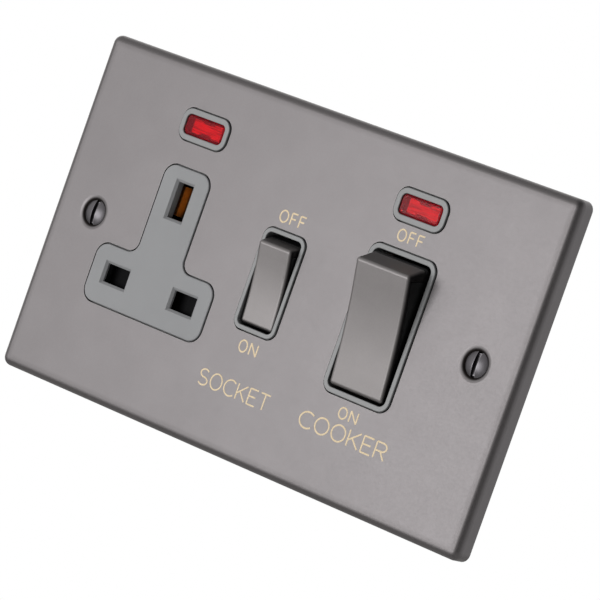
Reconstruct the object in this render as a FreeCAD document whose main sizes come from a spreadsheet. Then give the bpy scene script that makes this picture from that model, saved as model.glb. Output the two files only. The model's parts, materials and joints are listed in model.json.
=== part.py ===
import FreeCAD, Part
import math
import os
from types import SimpleNamespace

import Sketcher
from FreeCAD import Placement, Rotation, Vector

# A flush cooker control unit: a double wall plate with a switched socket and a cooker switch.
# Millimetres. +X to the right and +Z up as seen from the room, +Y into the wall.
# The origin is on the wall's surface, midway between the two fixing screws.

DIMENSIONS = {
    # wall plate
    "plate_width": 146.2,
    "plate_height": 85.2,
    "plate_depth": 4.8,
    "sheet_thickness": 1.2,
    "shoulder_radius": 1.8,
    "plate_corner": 2.2,
    "cutout_gap": 0.35,
    # fixing screws and their dimples
    "screw_pitch": 120.6,
    "screw_radius": 1.7,
    "screw_length": 17.0,
    "screw_head_radius": 3.05,
    "screw_dome": 0.7,
    "screw_slot_width": 0.9,
    "screw_slot_depth": 1.1,
    "dimple_radius": 3.65,
    "dimple_hole_radius": 2.1,
    "dimple_wall": 1.0,
    "dimple_rim": 1.6,
    "screw_seat_gap": 0.05,
    # socket face
    "socket_x": -35.9,
    "socket_z": -1.25,
    "pin_pitch": 22.23,
    "earth_slot_width": 4.8,
    "earth_slot_height": 8.9,
    "pole_slot_width": 7.2,
    "pole_slot_height": 4.6,
    "slot_chamfer": 0.6,
    "insert_proud": 0.3,
    "insert_wall": 2.45,
    "insert_side_wall": 1.5,
    "insert_rim": 0.3,
    "pole_slot_wall": 1.2,
    "pole_slot_margin": 1.6,
    "tee_stem_width": 14.6,
    "tee_base_width": 38.5,
    "tee_top": 17.9,
    "tee_shoulder": -5.7,
    "tee_bottom": -20.1,
    "tee_corner": 3.3,
    "tee_inner_corner": 3.0,
    # flanges behind the sheet
    "flange_thickness": 2.0,
    "flange_lap": 1.4,
    # neon indicators
    "neon_z": 28.05,
    "neon_width": 15.0,
    "neon_height": 7.75,
    "neon_corner": 2.7,
    "neon_window_width": 12.3,
    "neon_window_height": 5.0,
    "neon_window_corner": 1.3,
    "neon_body_depth": 6.4,
    "neon_back_wall": 1.0,
    "lens_gap": 0.05,
    "lens_setback": 0.1,
    "lens_thickness": 2.4,
    "lens_bevel": 0.45,
    "lens_hollow_width": 9.0,
    "lens_hollow_height": 3.5,
    "lens_hollow_depth": 1.0,
    "diffuser_gap": 0.05,
    "diffuser_thickness": 0.5,
    "diffuser_notch_half": 2.1,
    "diffuser_notch_slope": 0.5,
    "diffuser_notch_depth": 0.55,
    "lamp_radius": 2.15,
    "lamp_length": 10.6,
    "lamp_y": -0.2,
    "resistor_radius": 1.1,
    "resistor_length": 6.3,
    "resistor_y": 3.35,
    # frames round the rockers
    "frame_proud": 0.5,
    "frame_rim": 0.2,
    "frame_rear": 2.6,
    "switch_z": -0.2,
    # rear housing
    "housing_width": 108.0,
    "housing_height": 68.4,
    "housing_floor": 20.0,
    "housing_wall": 1.8,
    "housing_base": 2.0,
    "housing_corner": 3.0,
    "rib_thickness": 1.4,
    "link_thickness": 1.0,
    "rib_left_x": -12.7,
    "rib_right_x": 10.1,
    "link_notch": 0.3,
    "post_radius": 3.9,
    "post_edge_gap": 0.6,
    "post_z": 12.0,
    "post_low_z": -28.3,
    "post_low_x": -7.8,
    "post_high_x": 4.0,
    "post_high_z": 26.0,
    # pillars on the plate and housing screws
    "pillar_radius": 2.5,
    "pillar_length": 9.4,
    "pillar_gap": 0.1,
    "tapping_radius": 1.45,
    "tapping_length": 18.0,
    "tapping_head_radius": 2.7,
    "tapping_head_height": 1.9,
    "tapping_recess": 3.0,
    "thread_gap": 0.05,
    # socket contacts
    "strip_thickness": 0.8,
    "contact_base_length": 5.0,
    "pole_gap": 4.1,
    "pole_contact_width": 5.4,
    "pole_contact_front": 3.6,
    "earth_gap": 4.2,
    "earth_contact_height": 7.4,
    "earth_contact_front": -1.3,
    "contact_flare": 0.5,
    "contact_flare_length": 1.6,
    # shutter
    "shutter_front": -1.5,
    "shutter_thickness": 1.8,
    "shutter_arm_height": 6.3,
    "shutter_span": 30.4,
    "shutter_stem_width": 7.0,
    "shutter_stem_top": 3.4,
    "shutter_cam_width": 2.0,
    "shutter_cam_rise": 5.6,
    "shutter_guide_gap": 0.1,
    "shutter_guide_x": 5.2,
    "spring_length": 9.0,
    "spring_y": -0.1,
    "spring_seat_gap": 0.05,
    "spring_radius": 1.15,
    "spring_wire": 0.22,
    "spring_turns": 5.0,
    # terminals
    "terminal_width": 10.0,
    "terminal_depth": 10.0,
    "terminal_length": 11.0,
    "terminal_bore_radius": 2.9,
    "terminal_spacing": 19.0,
    "clamp_radius": 1.9,
    "clamp_head_radius": 2.6,
    "clamp_stand_off": 0.2,
    "clamp_head_height": 1.5,
    "clamp_slot_width": 0.9,
    "clamp_slot_depth": 0.8,
    "access_gap": 0.4,
    "entry_gap": 0.6,
    "earth_terminal_x": -20.7,
    "earth_terminal_width": 12.6,
    "earth_bore_radius": 2.3,
    "earth_bore_spacing": 6.4,
    # links
    "link_width": 5.0,
    "neutral_link_width": 3.0,
    "neutral_link_top": -18.3,
    "switched_link_z": 4.0,
    "switched_link_width": 3.0,
    "line_link_y": 14.5,
    "line_link_top": -13.5,
    "line_link_width": 3.0,
    "line_tab_width": 2.0,
    # contact gear of both switches
    "pivot_bead": 1.0,
    "bead_gap": 0.1,
    "plunger_gap": 0.1,
    "contact_inset": 1.2,
    "button_radius": 1.5,
    "button_height": 0.8,
    "button_gap": 0.15,
    "pole_strip_width": 5.0,
    "fixed_leg": 1.0,
    "fixed_pad_length": 4.0,
    # rocker and blade of the socket switch
    "socket_switch_x": -2.0,
    "socket_switch_opening_width": 10.85,
    "socket_switch_opening_height": 22.8,
    "socket_switch_opening_corner": 1.4,
    "socket_switch_ring": 1.05,
    "socket_switch_width": 10.25,
    "socket_switch_face": 19.9,
    "socket_switch_reach": 5.9,
    "socket_switch_pivot_depth": 4.4,
    "socket_switch_base": 22.4,
    "socket_switch_tail": 3.2,
    "socket_switch_tail_height": 18.0,
    "socket_switch_valley": 0.85,
    "socket_switch_valley_radius": 75.0,
    "socket_switch_skirt": 3.6,
    "socket_switch_stub_radius": 1.2,
    "socket_switch_tilt": 9.5,
    "socket_switch_pole_offset": 0.0,
    "socket_switch_blade_reach": 9.5,
    "socket_switch_blade_swing": 8.0,
    "socket_switch_blade_length": 18.0,
    "socket_switch_blade_thickness": 0.9,
    "socket_switch_saddle": 0.12,
    "socket_switch_tip_radius": 0.9,
    # rocker and blades of the cooker switch
    "cooker_switch_x": 32.1,
    "cooker_switch_opening_width": 17.4,
    "cooker_switch_opening_height": 33.7,
    "cooker_switch_opening_corner": 1.6,
    "cooker_switch_ring": 1.2,
    "cooker_switch_width": 16.1,
    "cooker_switch_face": 30.2,
    "cooker_switch_reach": 6.75,
    "cooker_switch_pivot_depth": 2.8,
    "cooker_switch_base": 33.1,
    "cooker_switch_tail": 4.0,
    "cooker_switch_tail_height": 27.0,
    "cooker_switch_valley": 1.1,
    "cooker_switch_valley_radius": 130.0,
    "cooker_switch_skirt": 5.6,
    "cooker_switch_stub_radius": 1.5,
    "cooker_switch_tilt": 11.5,
    "cooker_switch_pole_offset": 4.2,
    "cooker_switch_blade_reach": 12.5,
    "cooker_switch_blade_swing": 9.0,
    "cooker_switch_blade_length": 20.0,
    "cooker_switch_blade_thickness": 1.2,
    "cooker_switch_saddle": 0.3,
    "cooker_switch_tip_radius": 1.0,
    # what both rockers share
    "cap_wall": 0.8,
    "cap_gap": 0.05,
    "cap_edge": 0.9,
    "cap_side_skirt": 0.95,
    "cap_end_return": 1.3,
    "ledge_gap": 0.15,
    "stub_running_gap": 0.05,
    "stub_end_gap": 0.3,
    "rocker_shell": 1.3,
    "rocker_hollow_depth": 4.0,
    "plunger_radius": 1.6,
    "plunger_bore_gap": 0.05,
    "plunger_boss_wall": 0.9,
    "plunger_tail": 2.6,
    "plunger_spring_length": 3.4,
    "plunger_cone": 1.2,
}


class Size:
    """A length or an angle that knows both its value and its formula in the sheet."""

    def __init__(self, value, formula):
        self.value = value
        self.formula = formula

    def __add__(self, other):
        other = as_size(other)
        return Size(self.value + other.value, f"({self.formula} + {other.formula})")

    def __sub__(self, other):
        other = as_size(other)
        return Size(self.value - other.value, f"({self.formula} - {other.formula})")

    def __mul__(self, other):
        other = as_size(other)
        return Size(self.value * other.value, f"({self.formula} * {other.formula})")

    def __truediv__(self, other):
        other = as_size(other)
        return Size(self.value / other.value, f"({self.formula} / {other.formula})")

    def __neg__(self):
        return Size(-self.value, f"(0 - {self.formula})")


def as_size(number):
    """A plain number as a size that no cell of the sheet changes."""
    if isinstance(number, Size):
        return number
    return Size(float(number), f"{float(number)}")


def sine(angle):
    """The sine of an angle in degrees."""
    return Size(math.sin(math.radians(angle.value)), f"sin({angle.formula} * 1 deg)")


def cosine(angle):
    """The cosine of an angle in degrees."""
    return Size(math.cos(math.radians(angle.value)), f"cos({angle.formula} * 1 deg)")


doc = FreeCAD.newDocument("CookerControlUnit")
sheet = doc.addObject("Spreadsheet::Sheet", "Sizes")
for row, (alias, value) in enumerate(DIMENSIONS.items(), start=1):
    sheet.set(f"A{row}", alias)
    sheet.set(f"B{row}", str(value))
    sheet.setAlias(f"B{row}", alias)
doc.recompute()

d = SimpleNamespace(**{alias: Size(value, f"Sizes.{alias}") for alias, value in DIMENSIONS.items()})
parts = []


def keep(shape_object, label):
    """Names a finished piece and lists it for export."""
    shape_object.Label = label
    parts.append(shape_object)
    return shape_object


def bind(shape_object, path, size):
    """Ties a property of an object to a formula of the sheet."""
    shape_object.setExpression(path, as_size(size).formula)


# Sketches. Their own axes are set out from the piece's origin planes.


def sketch_on(body, role, name, x, y, depth):
    """A sketch parallel to an origin plane, with its own origin moved along that plane's axes."""
    plane = [feature for feature in body.Origin.OriginFeatures if feature.Role == role][0]
    sketch = body.newObject("Sketcher::SketchObject", name)
    sketch.AttachmentSupport = [(plane, "")]
    sketch.MapMode = "FlatFace"
    bind(sketch, "AttachmentOffset.Base.x", x)
    bind(sketch, "AttachmentOffset.Base.y", y)
    bind(sketch, "AttachmentOffset.Base.z", depth)
    return sketch


def front_sketch(body, name, y, x=0, z=0):
    """A sketch that faces the room at the depth y: its axes run to the right and up."""
    return sketch_on(body, "XZ_Plane", name, x, z, -as_size(y))


def side_sketch(body, name, x=0, y=0, z=0):
    """A sketch that faces the right: its axes run into the wall and up."""
    return sketch_on(body, "YZ_Plane", name, y, z, x)


def plan_sketch(body, name, z=0, x=0, y=0):
    """A sketch that faces upwards: its axes run to the right and into the wall."""
    return sketch_on(body, "XY_Plane", name, x, y, z)


def hold(sketch, geometry, vertex, kind, size):
    """Holds one end of a line at a signed distance from the sketch's axis."""
    size = as_size(size)
    if size.value == 0:
        axis = -2 if kind == "DistanceX" else -1
        sketch.addConstraint(Sketcher.Constraint("PointOnObject", geometry, vertex, axis))
        return
    index = sketch.addConstraint(
        Sketcher.Constraint(kind, -1, 1, geometry, vertex, size.value)
    )
    bind(sketch, f"Constraints[{index}]", size)


def polygon(sketch, points):
    """A closed polygon with each corner held by two lengths."""
    corners = [Vector(as_size(across).value, as_size(up).value, 0) for across, up in points]
    count = len(corners)
    for index, corner in enumerate(corners):
        sketch.addGeometry(Part.LineSegment(corner, corners[(index + 1) % count]))
    for index in range(count):
        sketch.addConstraint(
            Sketcher.Constraint("Coincident", index, 2, (index + 1) % count, 1)
        )
    for index, (across, up) in enumerate(points):
        hold(sketch, index, 1, "DistanceX", across)
        hold(sketch, index, 1, "DistanceY", up)
    return sketch


def circle(sketch, radius, across=0, up=0):
    """A circle held by its radius and its centre."""
    across = as_size(across)
    up = as_size(up)
    centre = Vector(across.value, up.value, 0)
    index = sketch.addGeometry(Part.Circle(centre, Vector(0, 0, 1), radius.value))
    number = sketch.addConstraint(Sketcher.Constraint("Radius", index, radius.value))
    bind(sketch, f"Constraints[{number}]", radius)
    hold(sketch, index, 3, "DistanceX", across)
    hold(sketch, index, 3, "DistanceY", up)
    return sketch


def rounded_outline(sketch, corners, radii):
    """A closed outline of level and upright lines, run anticlockwise, with round corners."""
    count = len(corners)
    spots = [Vector(as_size(across).value, as_size(up).value, 0) for across, up in corners]
    runs = [(spots[(i + 1) % count] - spots[i]).normalize() for i in range(count)]
    for i in range(count):
        after = (i + 1) % count
        start = spots[i] + runs[i] * radii[i].value
        end = spots[after] - runs[i] * radii[after].value
        sketch.addGeometry(Part.LineSegment(start, end))
        level = abs(runs[i].y) < 0.5
        sketch.addConstraint(Sketcher.Constraint("Horizontal" if level else "Vertical", i))
        if level:
            hold(sketch, i, 1, "DistanceY", corners[i][1])
        else:
            hold(sketch, i, 1, "DistanceX", corners[i][0])
    for i in range(count):
        radius = radii[i].value
        before = (i - 1) % count
        centre = spots[i] - runs[before] * radius + runs[i] * radius
        outward = runs[before].cross(runs[i]).z > 0
        first = -runs[i] if outward else runs[before]
        begin = math.atan2(first.y, first.x)
        ring = Part.Circle(centre, Vector(0, 0, 1), radius)
        arc = sketch.addGeometry(Part.ArcOfCircle(ring, begin, begin + math.pi / 2))
        arrive = 1 if outward else 2
        leave = 2 if outward else 1
        sketch.addConstraint(Sketcher.Constraint("Tangent", before, 2, arc, arrive))
        sketch.addConstraint(Sketcher.Constraint("Tangent", arc, leave, i, 1))
        number = sketch.addConstraint(Sketcher.Constraint("Radius", arc, radius))
        bind(sketch, f"Constraints[{number}]", radii[i])
    return sketch


def rectangle(sketch, width, height):
    """A sharp rectangle round the sketch's origin."""
    across = as_size(width) / 2
    up = as_size(height) / 2
    return polygon(sketch, [(-across, -up), (across, -up), (across, up), (-across, up)])


def rounded_rectangle(sketch, width, height, radius):
    """A rectangle with round corners about the sketch's origin."""
    across = as_size(width) / 2
    up = as_size(height) / 2
    corners = [(-across, -up), (across, -up), (across, up), (-across, up)]
    return rounded_outline(sketch, corners, [radius] * 4)


# Features of a body.


def new_body(name):
    """An empty body for one solid piece."""
    return doc.addObject("PartDesign::Body", name)


def pad(body, sketch, length, backwards=True, symmetric=False):
    """Grows a sketch: a front sketch goes into the wall, unless backwards is False."""
    feature = body.newObject("PartDesign::Pad", "Pad")
    feature.Profile = sketch
    bind(feature, "Length", length)
    feature.Reversed = backwards and not symmetric
    if symmetric:
        feature.SideType = "Symmetric"
    sketch.Visibility = False
    return feature


def pocket(body, sketch, length=None, forwards=False, symmetric=False):
    """Cuts a sketch into the wall, or towards the room if forwards, or right through."""
    feature = body.newObject("PartDesign::Pocket", "Pocket")
    feature.Profile = sketch
    if length is None:
        feature.Type = "ThroughAll"
    else:
        bind(feature, "Length", length)
    if symmetric:
        feature.SideType = "Symmetric"
    else:
        feature.Reversed = forwards
    return feature


def revolve(body, sketch, kind="PartDesign::Revolution"):
    """Turns a plan sketch about its own axis that runs into the wall."""
    feature = body.newObject(kind, "Turned")
    feature.Profile = sketch
    feature.ReferenceAxis = (sketch, ["V_Axis"])
    feature.Angle = 360
    return feature


def edges_where(feature, test):
    """The names of the edges of a feature that pass a test."""
    doc.recompute()
    return [f"Edge{i}" for i, edge in enumerate(feature.Shape.Edges, start=1) if test(edge)]


def dress(body, kind, feature, size, test):
    """A fillet or a chamfer on the edges that pass a test."""
    names = edges_where(feature, test)
    dressed = body.newObject(kind, "Dressed")
    dressed.Base = (feature, names)
    bind(dressed, "Radius" if kind.endswith("Fillet") else "Size", size)
    return dressed


def at_depth(depth, tolerance=0.02):
    """A test for edges that lie wholly at one depth."""

    def test(edge):
        box = edge.BoundBox
        return abs(box.YMin - depth.value) < tolerance and abs(box.YMax - depth.value) < tolerance

    return test


# Primitives. Their places and sizes are tied to the sheet as well.


def block(x, y, z, width, depth, height):
    """A box by its centre in x and z, and its front in y."""
    box = doc.addObject("Part::Box", "Block")
    bind(box, "Length", width)
    bind(box, "Width", depth)
    bind(box, "Height", height)
    bind(box, "Placement.Base.x", as_size(x) - as_size(width) / 2)
    bind(box, "Placement.Base.y", y)
    bind(box, "Placement.Base.z", as_size(z) - as_size(height) / 2)
    return box


def rod(x, y, z, radius, length, axis="Y"):
    """A cylinder from a point, along +X, +Y or +Z."""
    cylinder = doc.addObject("Part::Cylinder", "Rod")
    turns = {"X": Rotation(Vector(0, 1, 0), 90), "Y": Rotation(Vector(1, 0, 0), -90), "Z": Rotation()}
    cylinder.Placement = Placement(Vector(), turns[axis])
    bind(cylinder, "Radius", radius)
    bind(cylinder, "Height", length)
    bind(cylinder, "Placement.Base.x", x)
    bind(cylinder, "Placement.Base.y", y)
    bind(cylinder, "Placement.Base.z", z)
    return cylinder


def cut(base, *tools):
    """A solid with others cut out of it, one after the other."""
    for tool in tools:
        result = doc.addObject("Part::Cut", "Cut")
        result.Base = base
        result.Tool = tool
        base = result
    return base


def fuse(*shapes):
    """Solids joined into one."""
    result = doc.addObject("Part::MultiFuse", "Fuse")
    result.Shapes = list(shapes)
    result.Refine = True
    return result


def group(shapes):
    """Identical loose pieces kept together as separate solids."""
    result = doc.addObject("Part::Compound", "Group")
    result.Links = list(shapes)
    return result


# Depths that several pieces share.

front = -d.plate_depth
sheet_back = front + d.sheet_thickness
flange_back = sheet_back + d.flange_thickness
link_front = d.housing_floor - d.link_thickness
base_front = link_front - d.strip_thickness
half_housing = d.housing_height / 2
terminal_front = d.housing_floor - d.terminal_depth
terminal_axis = d.housing_floor - d.terminal_depth / 2
terminal_edge = half_housing - d.housing_wall - d.terminal_length
terminal_z = terminal_edge + d.terminal_length / 2
earth_z = d.socket_z + d.pin_pitch / 2
pole_z = d.socket_z - d.pin_pitch / 2
neutral_x = d.socket_x - d.pin_pitch / 2
line_x = d.socket_x + d.pin_pitch / 2


def tee_corners(grow):
    """The corners of the T-shaped face, grown outwards all round."""
    grow = as_size(grow)
    base = d.tee_base_width / 2 + grow
    stem = d.tee_stem_width / 2 + grow
    bottom = d.tee_bottom - grow
    shoulder = d.tee_shoulder + grow
    top = d.tee_top + grow
    return [
        (-base, bottom),
        (base, bottom),
        (base, shoulder),
        (stem, shoulder),
        (stem, top),
        (-stem, top),
        (-stem, shoulder),
        (-base, shoulder),
    ]


def tee_outline(sketch, grow):
    """The T outline in a sketch whose origin is on the socket's centre line."""
    outer = d.tee_corner + grow
    inner = d.tee_inner_corner - grow
    radii = [outer, outer, outer, inner, outer, outer, inner, outer]
    return rounded_outline(sketch, tee_corners(grow), radii)


def switch_sizes(prefix):
    """The sizes of one rocker switch, without their prefix."""
    start = prefix + "_"
    return SimpleNamespace(
        **{alias[len(start):]: size for alias, size in vars(d).items() if alias.startswith(start)}
    )


socket_switch = switch_sizes("socket_switch")
cooker_switch = switch_sizes("cooker_switch")
pole_shift = cooker_switch.pole_offset
neutral_pole_x = cooker_switch.x - pole_shift
line_pole_x = cooker_switch.x + pole_shift
neutral_terminal_x = cooker_switch.x - d.terminal_spacing / 2
line_terminal_x = cooker_switch.x + d.terminal_spacing / 2
side_post_x = d.housing_width / 2 - d.post_radius - d.post_edge_gap

POSTS = [
    (-side_post_x, d.post_z),
    (-side_post_x, d.post_low_z),
    (d.post_low_x, d.post_low_z),
    (d.post_high_x, d.post_high_z),
    (side_post_x, d.post_z),
    (side_post_x, -d.post_z),
]
TERMINALS = [
    (neutral_terminal_x, -terminal_z, "neutral_in_terminal"),
    (line_terminal_x, -terminal_z, "line_in_terminal"),
    (neutral_terminal_x, terminal_z, "neutral_out_terminal"),
    (line_terminal_x, terminal_z, "line_out_terminal"),
]


def pivot_y(switch):
    """The depth of a rocker's pivot."""
    return front + switch.pivot_depth


def blade_axis_y(switch):
    """The depth of the line that a blade rocks about."""
    return pivot_y(switch) + switch.blade_reach


def make_front_plate():
    """The pressed sheet: returned edge, cut-outs and a pressed dimple at each screw."""
    body = new_body("front_plate")
    outer = front_sketch(body, "PlateOutline", 0)
    rounded_rectangle(outer, d.plate_width, d.plate_height, d.plate_corner)
    shell = pad(body, outer, d.plate_depth, backwards=False)
    dress(body, "PartDesign::Fillet", shell, d.shoulder_radius, at_depth(front))
    hollow = front_sketch(body, "PlateHollow", 0)
    rounded_rectangle(
        hollow,
        d.plate_width - d.sheet_thickness * 2,
        d.plate_height - d.sheet_thickness * 2,
        d.plate_corner - d.sheet_thickness,
    )
    pocket(body, hollow, d.plate_depth - d.sheet_thickness, forwards=True)
    tee_outline(front_sketch(body, "TeeCutout", front, d.socket_x), d.cutout_gap)
    pocket(body, body.Group[-1], d.sheet_thickness * 2)
    for switch in (socket_switch, cooker_switch):
        sketch = front_sketch(body, "FrameCutout", front, switch.x, d.switch_z)
        rounded_rectangle(
            sketch,
            switch.opening_width + (switch.ring + d.cutout_gap) * 2,
            switch.opening_height + (switch.ring + d.cutout_gap) * 2,
            switch.opening_corner + switch.ring + d.cutout_gap,
        )
        pocket(body, sketch, d.sheet_thickness * 2)
    for centre in (d.socket_x, cooker_switch.x):
        sketch = front_sketch(body, "NeonCutout", front, centre, d.neon_z)
        rounded_rectangle(
            sketch,
            d.neon_width + d.cutout_gap * 2,
            d.neon_height + d.cutout_gap * 2,
            d.neon_corner + d.cutout_gap,
        )
        pocket(body, sketch, d.sheet_thickness * 2)
    cone_depth = d.dimple_radius - d.dimple_hole_radius
    for side in (-1, 1):
        centre = d.screw_pitch / 2 * side
        cup = plan_sketch(body, "DimpleCup", 0, centre, sheet_back - d.sheet_thickness / 2)
        rise = cone_depth - d.sheet_thickness / 2 + d.dimple_wall / 4
        polygon(
            cup,
            [
                (0, 0),
                (d.dimple_radius + d.dimple_wall, 0),
                (d.dimple_hole_radius + d.dimple_wall, rise),
                (0, rise),
            ],
        )
        revolve(body, cup)
        dimple = plan_sketch(body, "Dimple", 0, centre, front)
        reach = cone_depth + d.dimple_wall * 3
        polygon(
            dimple,
            [
                (0, 0),
                (d.dimple_radius, 0),
                (d.dimple_hole_radius, cone_depth),
                (d.dimple_hole_radius, reach),
                (0, reach),
            ],
        )
        dimpled = revolve(body, dimple, "PartDesign::Groove")

    def is_dimple_rim(edge):
        if edge.Curve.TypeId != "Part::GeomCircle" or not at_depth(front)(edge):
            return False
        off_screw = abs(abs(edge.Curve.Center.x) - d.screw_pitch.value / 2)
        return off_screw < 0.01 and abs(edge.Curve.Radius - d.dimple_radius.value) < 0.01

    dress(body, "PartDesign::Fillet", dimpled, d.dimple_rim, is_dimple_rim)
    keep(body, "front_plate")


def make_fixing_screw(side, label):
    """A slotted raised countersunk screw, turned and then slotted upright."""
    body = new_body(label)
    head_y = front + (d.dimple_radius - d.screw_head_radius) - d.screw_seat_gap
    centre = d.screw_pitch / 2 * side
    profile = plan_sketch(body, "ScrewProfile", 0, centre, head_y)
    cone = d.screw_head_radius - d.screw_radius
    tip = d.screw_length - d.screw_radius / 2
    radius = (d.screw_head_radius * d.screw_head_radius / d.screw_dome + d.screw_dome) / 2
    points = [
        (0, -d.screw_dome),
        (d.screw_head_radius, 0),
        (d.screw_radius, cone),
        (d.screw_radius, tip),
        (d.screw_radius / 2, d.screw_length),
        (0, d.screw_length),
    ]
    spots = [Vector(as_size(across).value, as_size(along).value, 0) for across, along in points]
    middle = Vector(0, radius.value - d.screw_dome.value, 0)
    dome = Part.ArcOfCircle(
        Part.Circle(middle, Vector(0, 0, 1), radius.value),
        -math.pi / 2,
        math.atan2(spots[1].y - middle.y, spots[1].x),
    )
    profile.addGeometry(dome)
    for start, end in zip(spots[1:], spots[2:] + spots[:1]):
        profile.addGeometry(Part.LineSegment(start, end))
    count = len(points)
    for index in range(count):
        profile.addConstraint(
            Sketcher.Constraint("Coincident", index, 2, (index + 1) % count, 1)
        )
    for index, (across, along) in enumerate(points):
        hold(profile, index, 1, "DistanceX", across)
        hold(profile, index, 1, "DistanceY", along)
    profile.addConstraint(Sketcher.Constraint("PointOnObject", 0, 3, -2))
    revolve(body, profile)
    slot = front_sketch(body, "ScrewSlot", head_y - d.screw_dome, centre)
    rectangle(slot, d.screw_slot_width, d.screw_head_radius * 3)
    pocket(body, slot, d.screw_slot_depth)
    keep(body, label)


def make_socket_insert():
    """The T-shaped face with its flange and three pin slots, open behind."""
    body = new_body("socket_insert")
    face = front - d.insert_proud
    boss = tee_outline(front_sketch(body, "TeeFace", face, d.socket_x), 0)
    shell = pad(body, boss, flange_back - face)
    dress(body, "PartDesign::Fillet", shell, d.insert_rim, at_depth(face))
    flange = tee_outline(front_sketch(body, "TeeFlange", sheet_back, d.socket_x), d.flange_lap)
    pad(body, flange, d.flange_thickness)
    hollow = tee_outline(
        front_sketch(body, "TeeHollow", flange_back, d.socket_x), -d.insert_side_wall
    )
    pocket(body, hollow, flange_back - face - d.insert_wall, forwards=True)
    wall_back = face + d.insert_wall
    for x in (neutral_x, line_x):
        recess = front_sketch(body, "SlotRecess", wall_back, x, pole_z)
        rectangle(
            recess,
            d.pole_slot_width + d.pole_slot_margin * 2,
            d.pole_slot_height + d.pole_slot_margin * 2,
        )
        pocket(body, recess, d.insert_wall - d.pole_slot_wall, forwards=True)
    slots = [
        (d.socket_x, earth_z, d.earth_slot_width, d.earth_slot_height),
        (neutral_x, pole_z, d.pole_slot_width, d.pole_slot_height),
        (line_x, pole_z, d.pole_slot_width, d.pole_slot_height),
    ]
    for x, z, width, height in slots:
        sketch = front_sketch(body, "PinSlot", face, x, z)
        rectangle(sketch, width, height)
        last = pocket(body, sketch, d.insert_wall * 2)

    def round_a_slot(edge):
        if not at_depth(face)(edge):
            return False
        middle = edge.CenterOfMass
        return any(
            abs(middle.x - x.value) < width.value and abs(middle.z - z.value) < height.value / 2 + 0.1
            for x, z, width, height in slots
        )

    dress(body, "PartDesign::Chamfer", last, d.slot_chamfer, round_a_slot)
    keep(body, "socket_insert")


def make_switch_frame(switch, label):
    """The frame round a rocker, with a flange and a well whose sides carry the rocker's pivot."""
    body = new_body(label)
    face = front - d.frame_proud
    width = switch.opening_width + switch.ring * 2
    height = switch.opening_height + switch.ring * 2
    corner = switch.opening_corner + switch.ring
    outline = front_sketch(body, "FrameOutline", face, switch.x, d.switch_z)
    rounded_rectangle(outline, width, height, corner)
    pad(body, outline, d.frame_rear - face)
    flange = front_sketch(body, "FrameFlange", sheet_back, switch.x, d.switch_z)
    rounded_rectangle(
        flange, width + d.flange_lap * 2, height + d.flange_lap * 2, corner + d.flange_lap
    )
    pad(body, flange, d.flange_thickness)
    well = front_sketch(body, "FrameWell", face, switch.x, d.switch_z)
    rounded_rectangle(well, switch.opening_width, switch.opening_height, switch.opening_corner)
    hollow = pocket(body, well, (d.frame_rear - face) * 2)
    dress(body, "PartDesign::Fillet", hollow, d.frame_rim, at_depth(face))
    pivot = side_sketch(body, "FramePivot", switch.x, pivot_y(switch), d.switch_z)
    circle(pivot, switch.stub_radius + d.stub_running_gap)
    pocket(body, pivot, width * 2, symmetric=True)
    keep(body, label)


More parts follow.
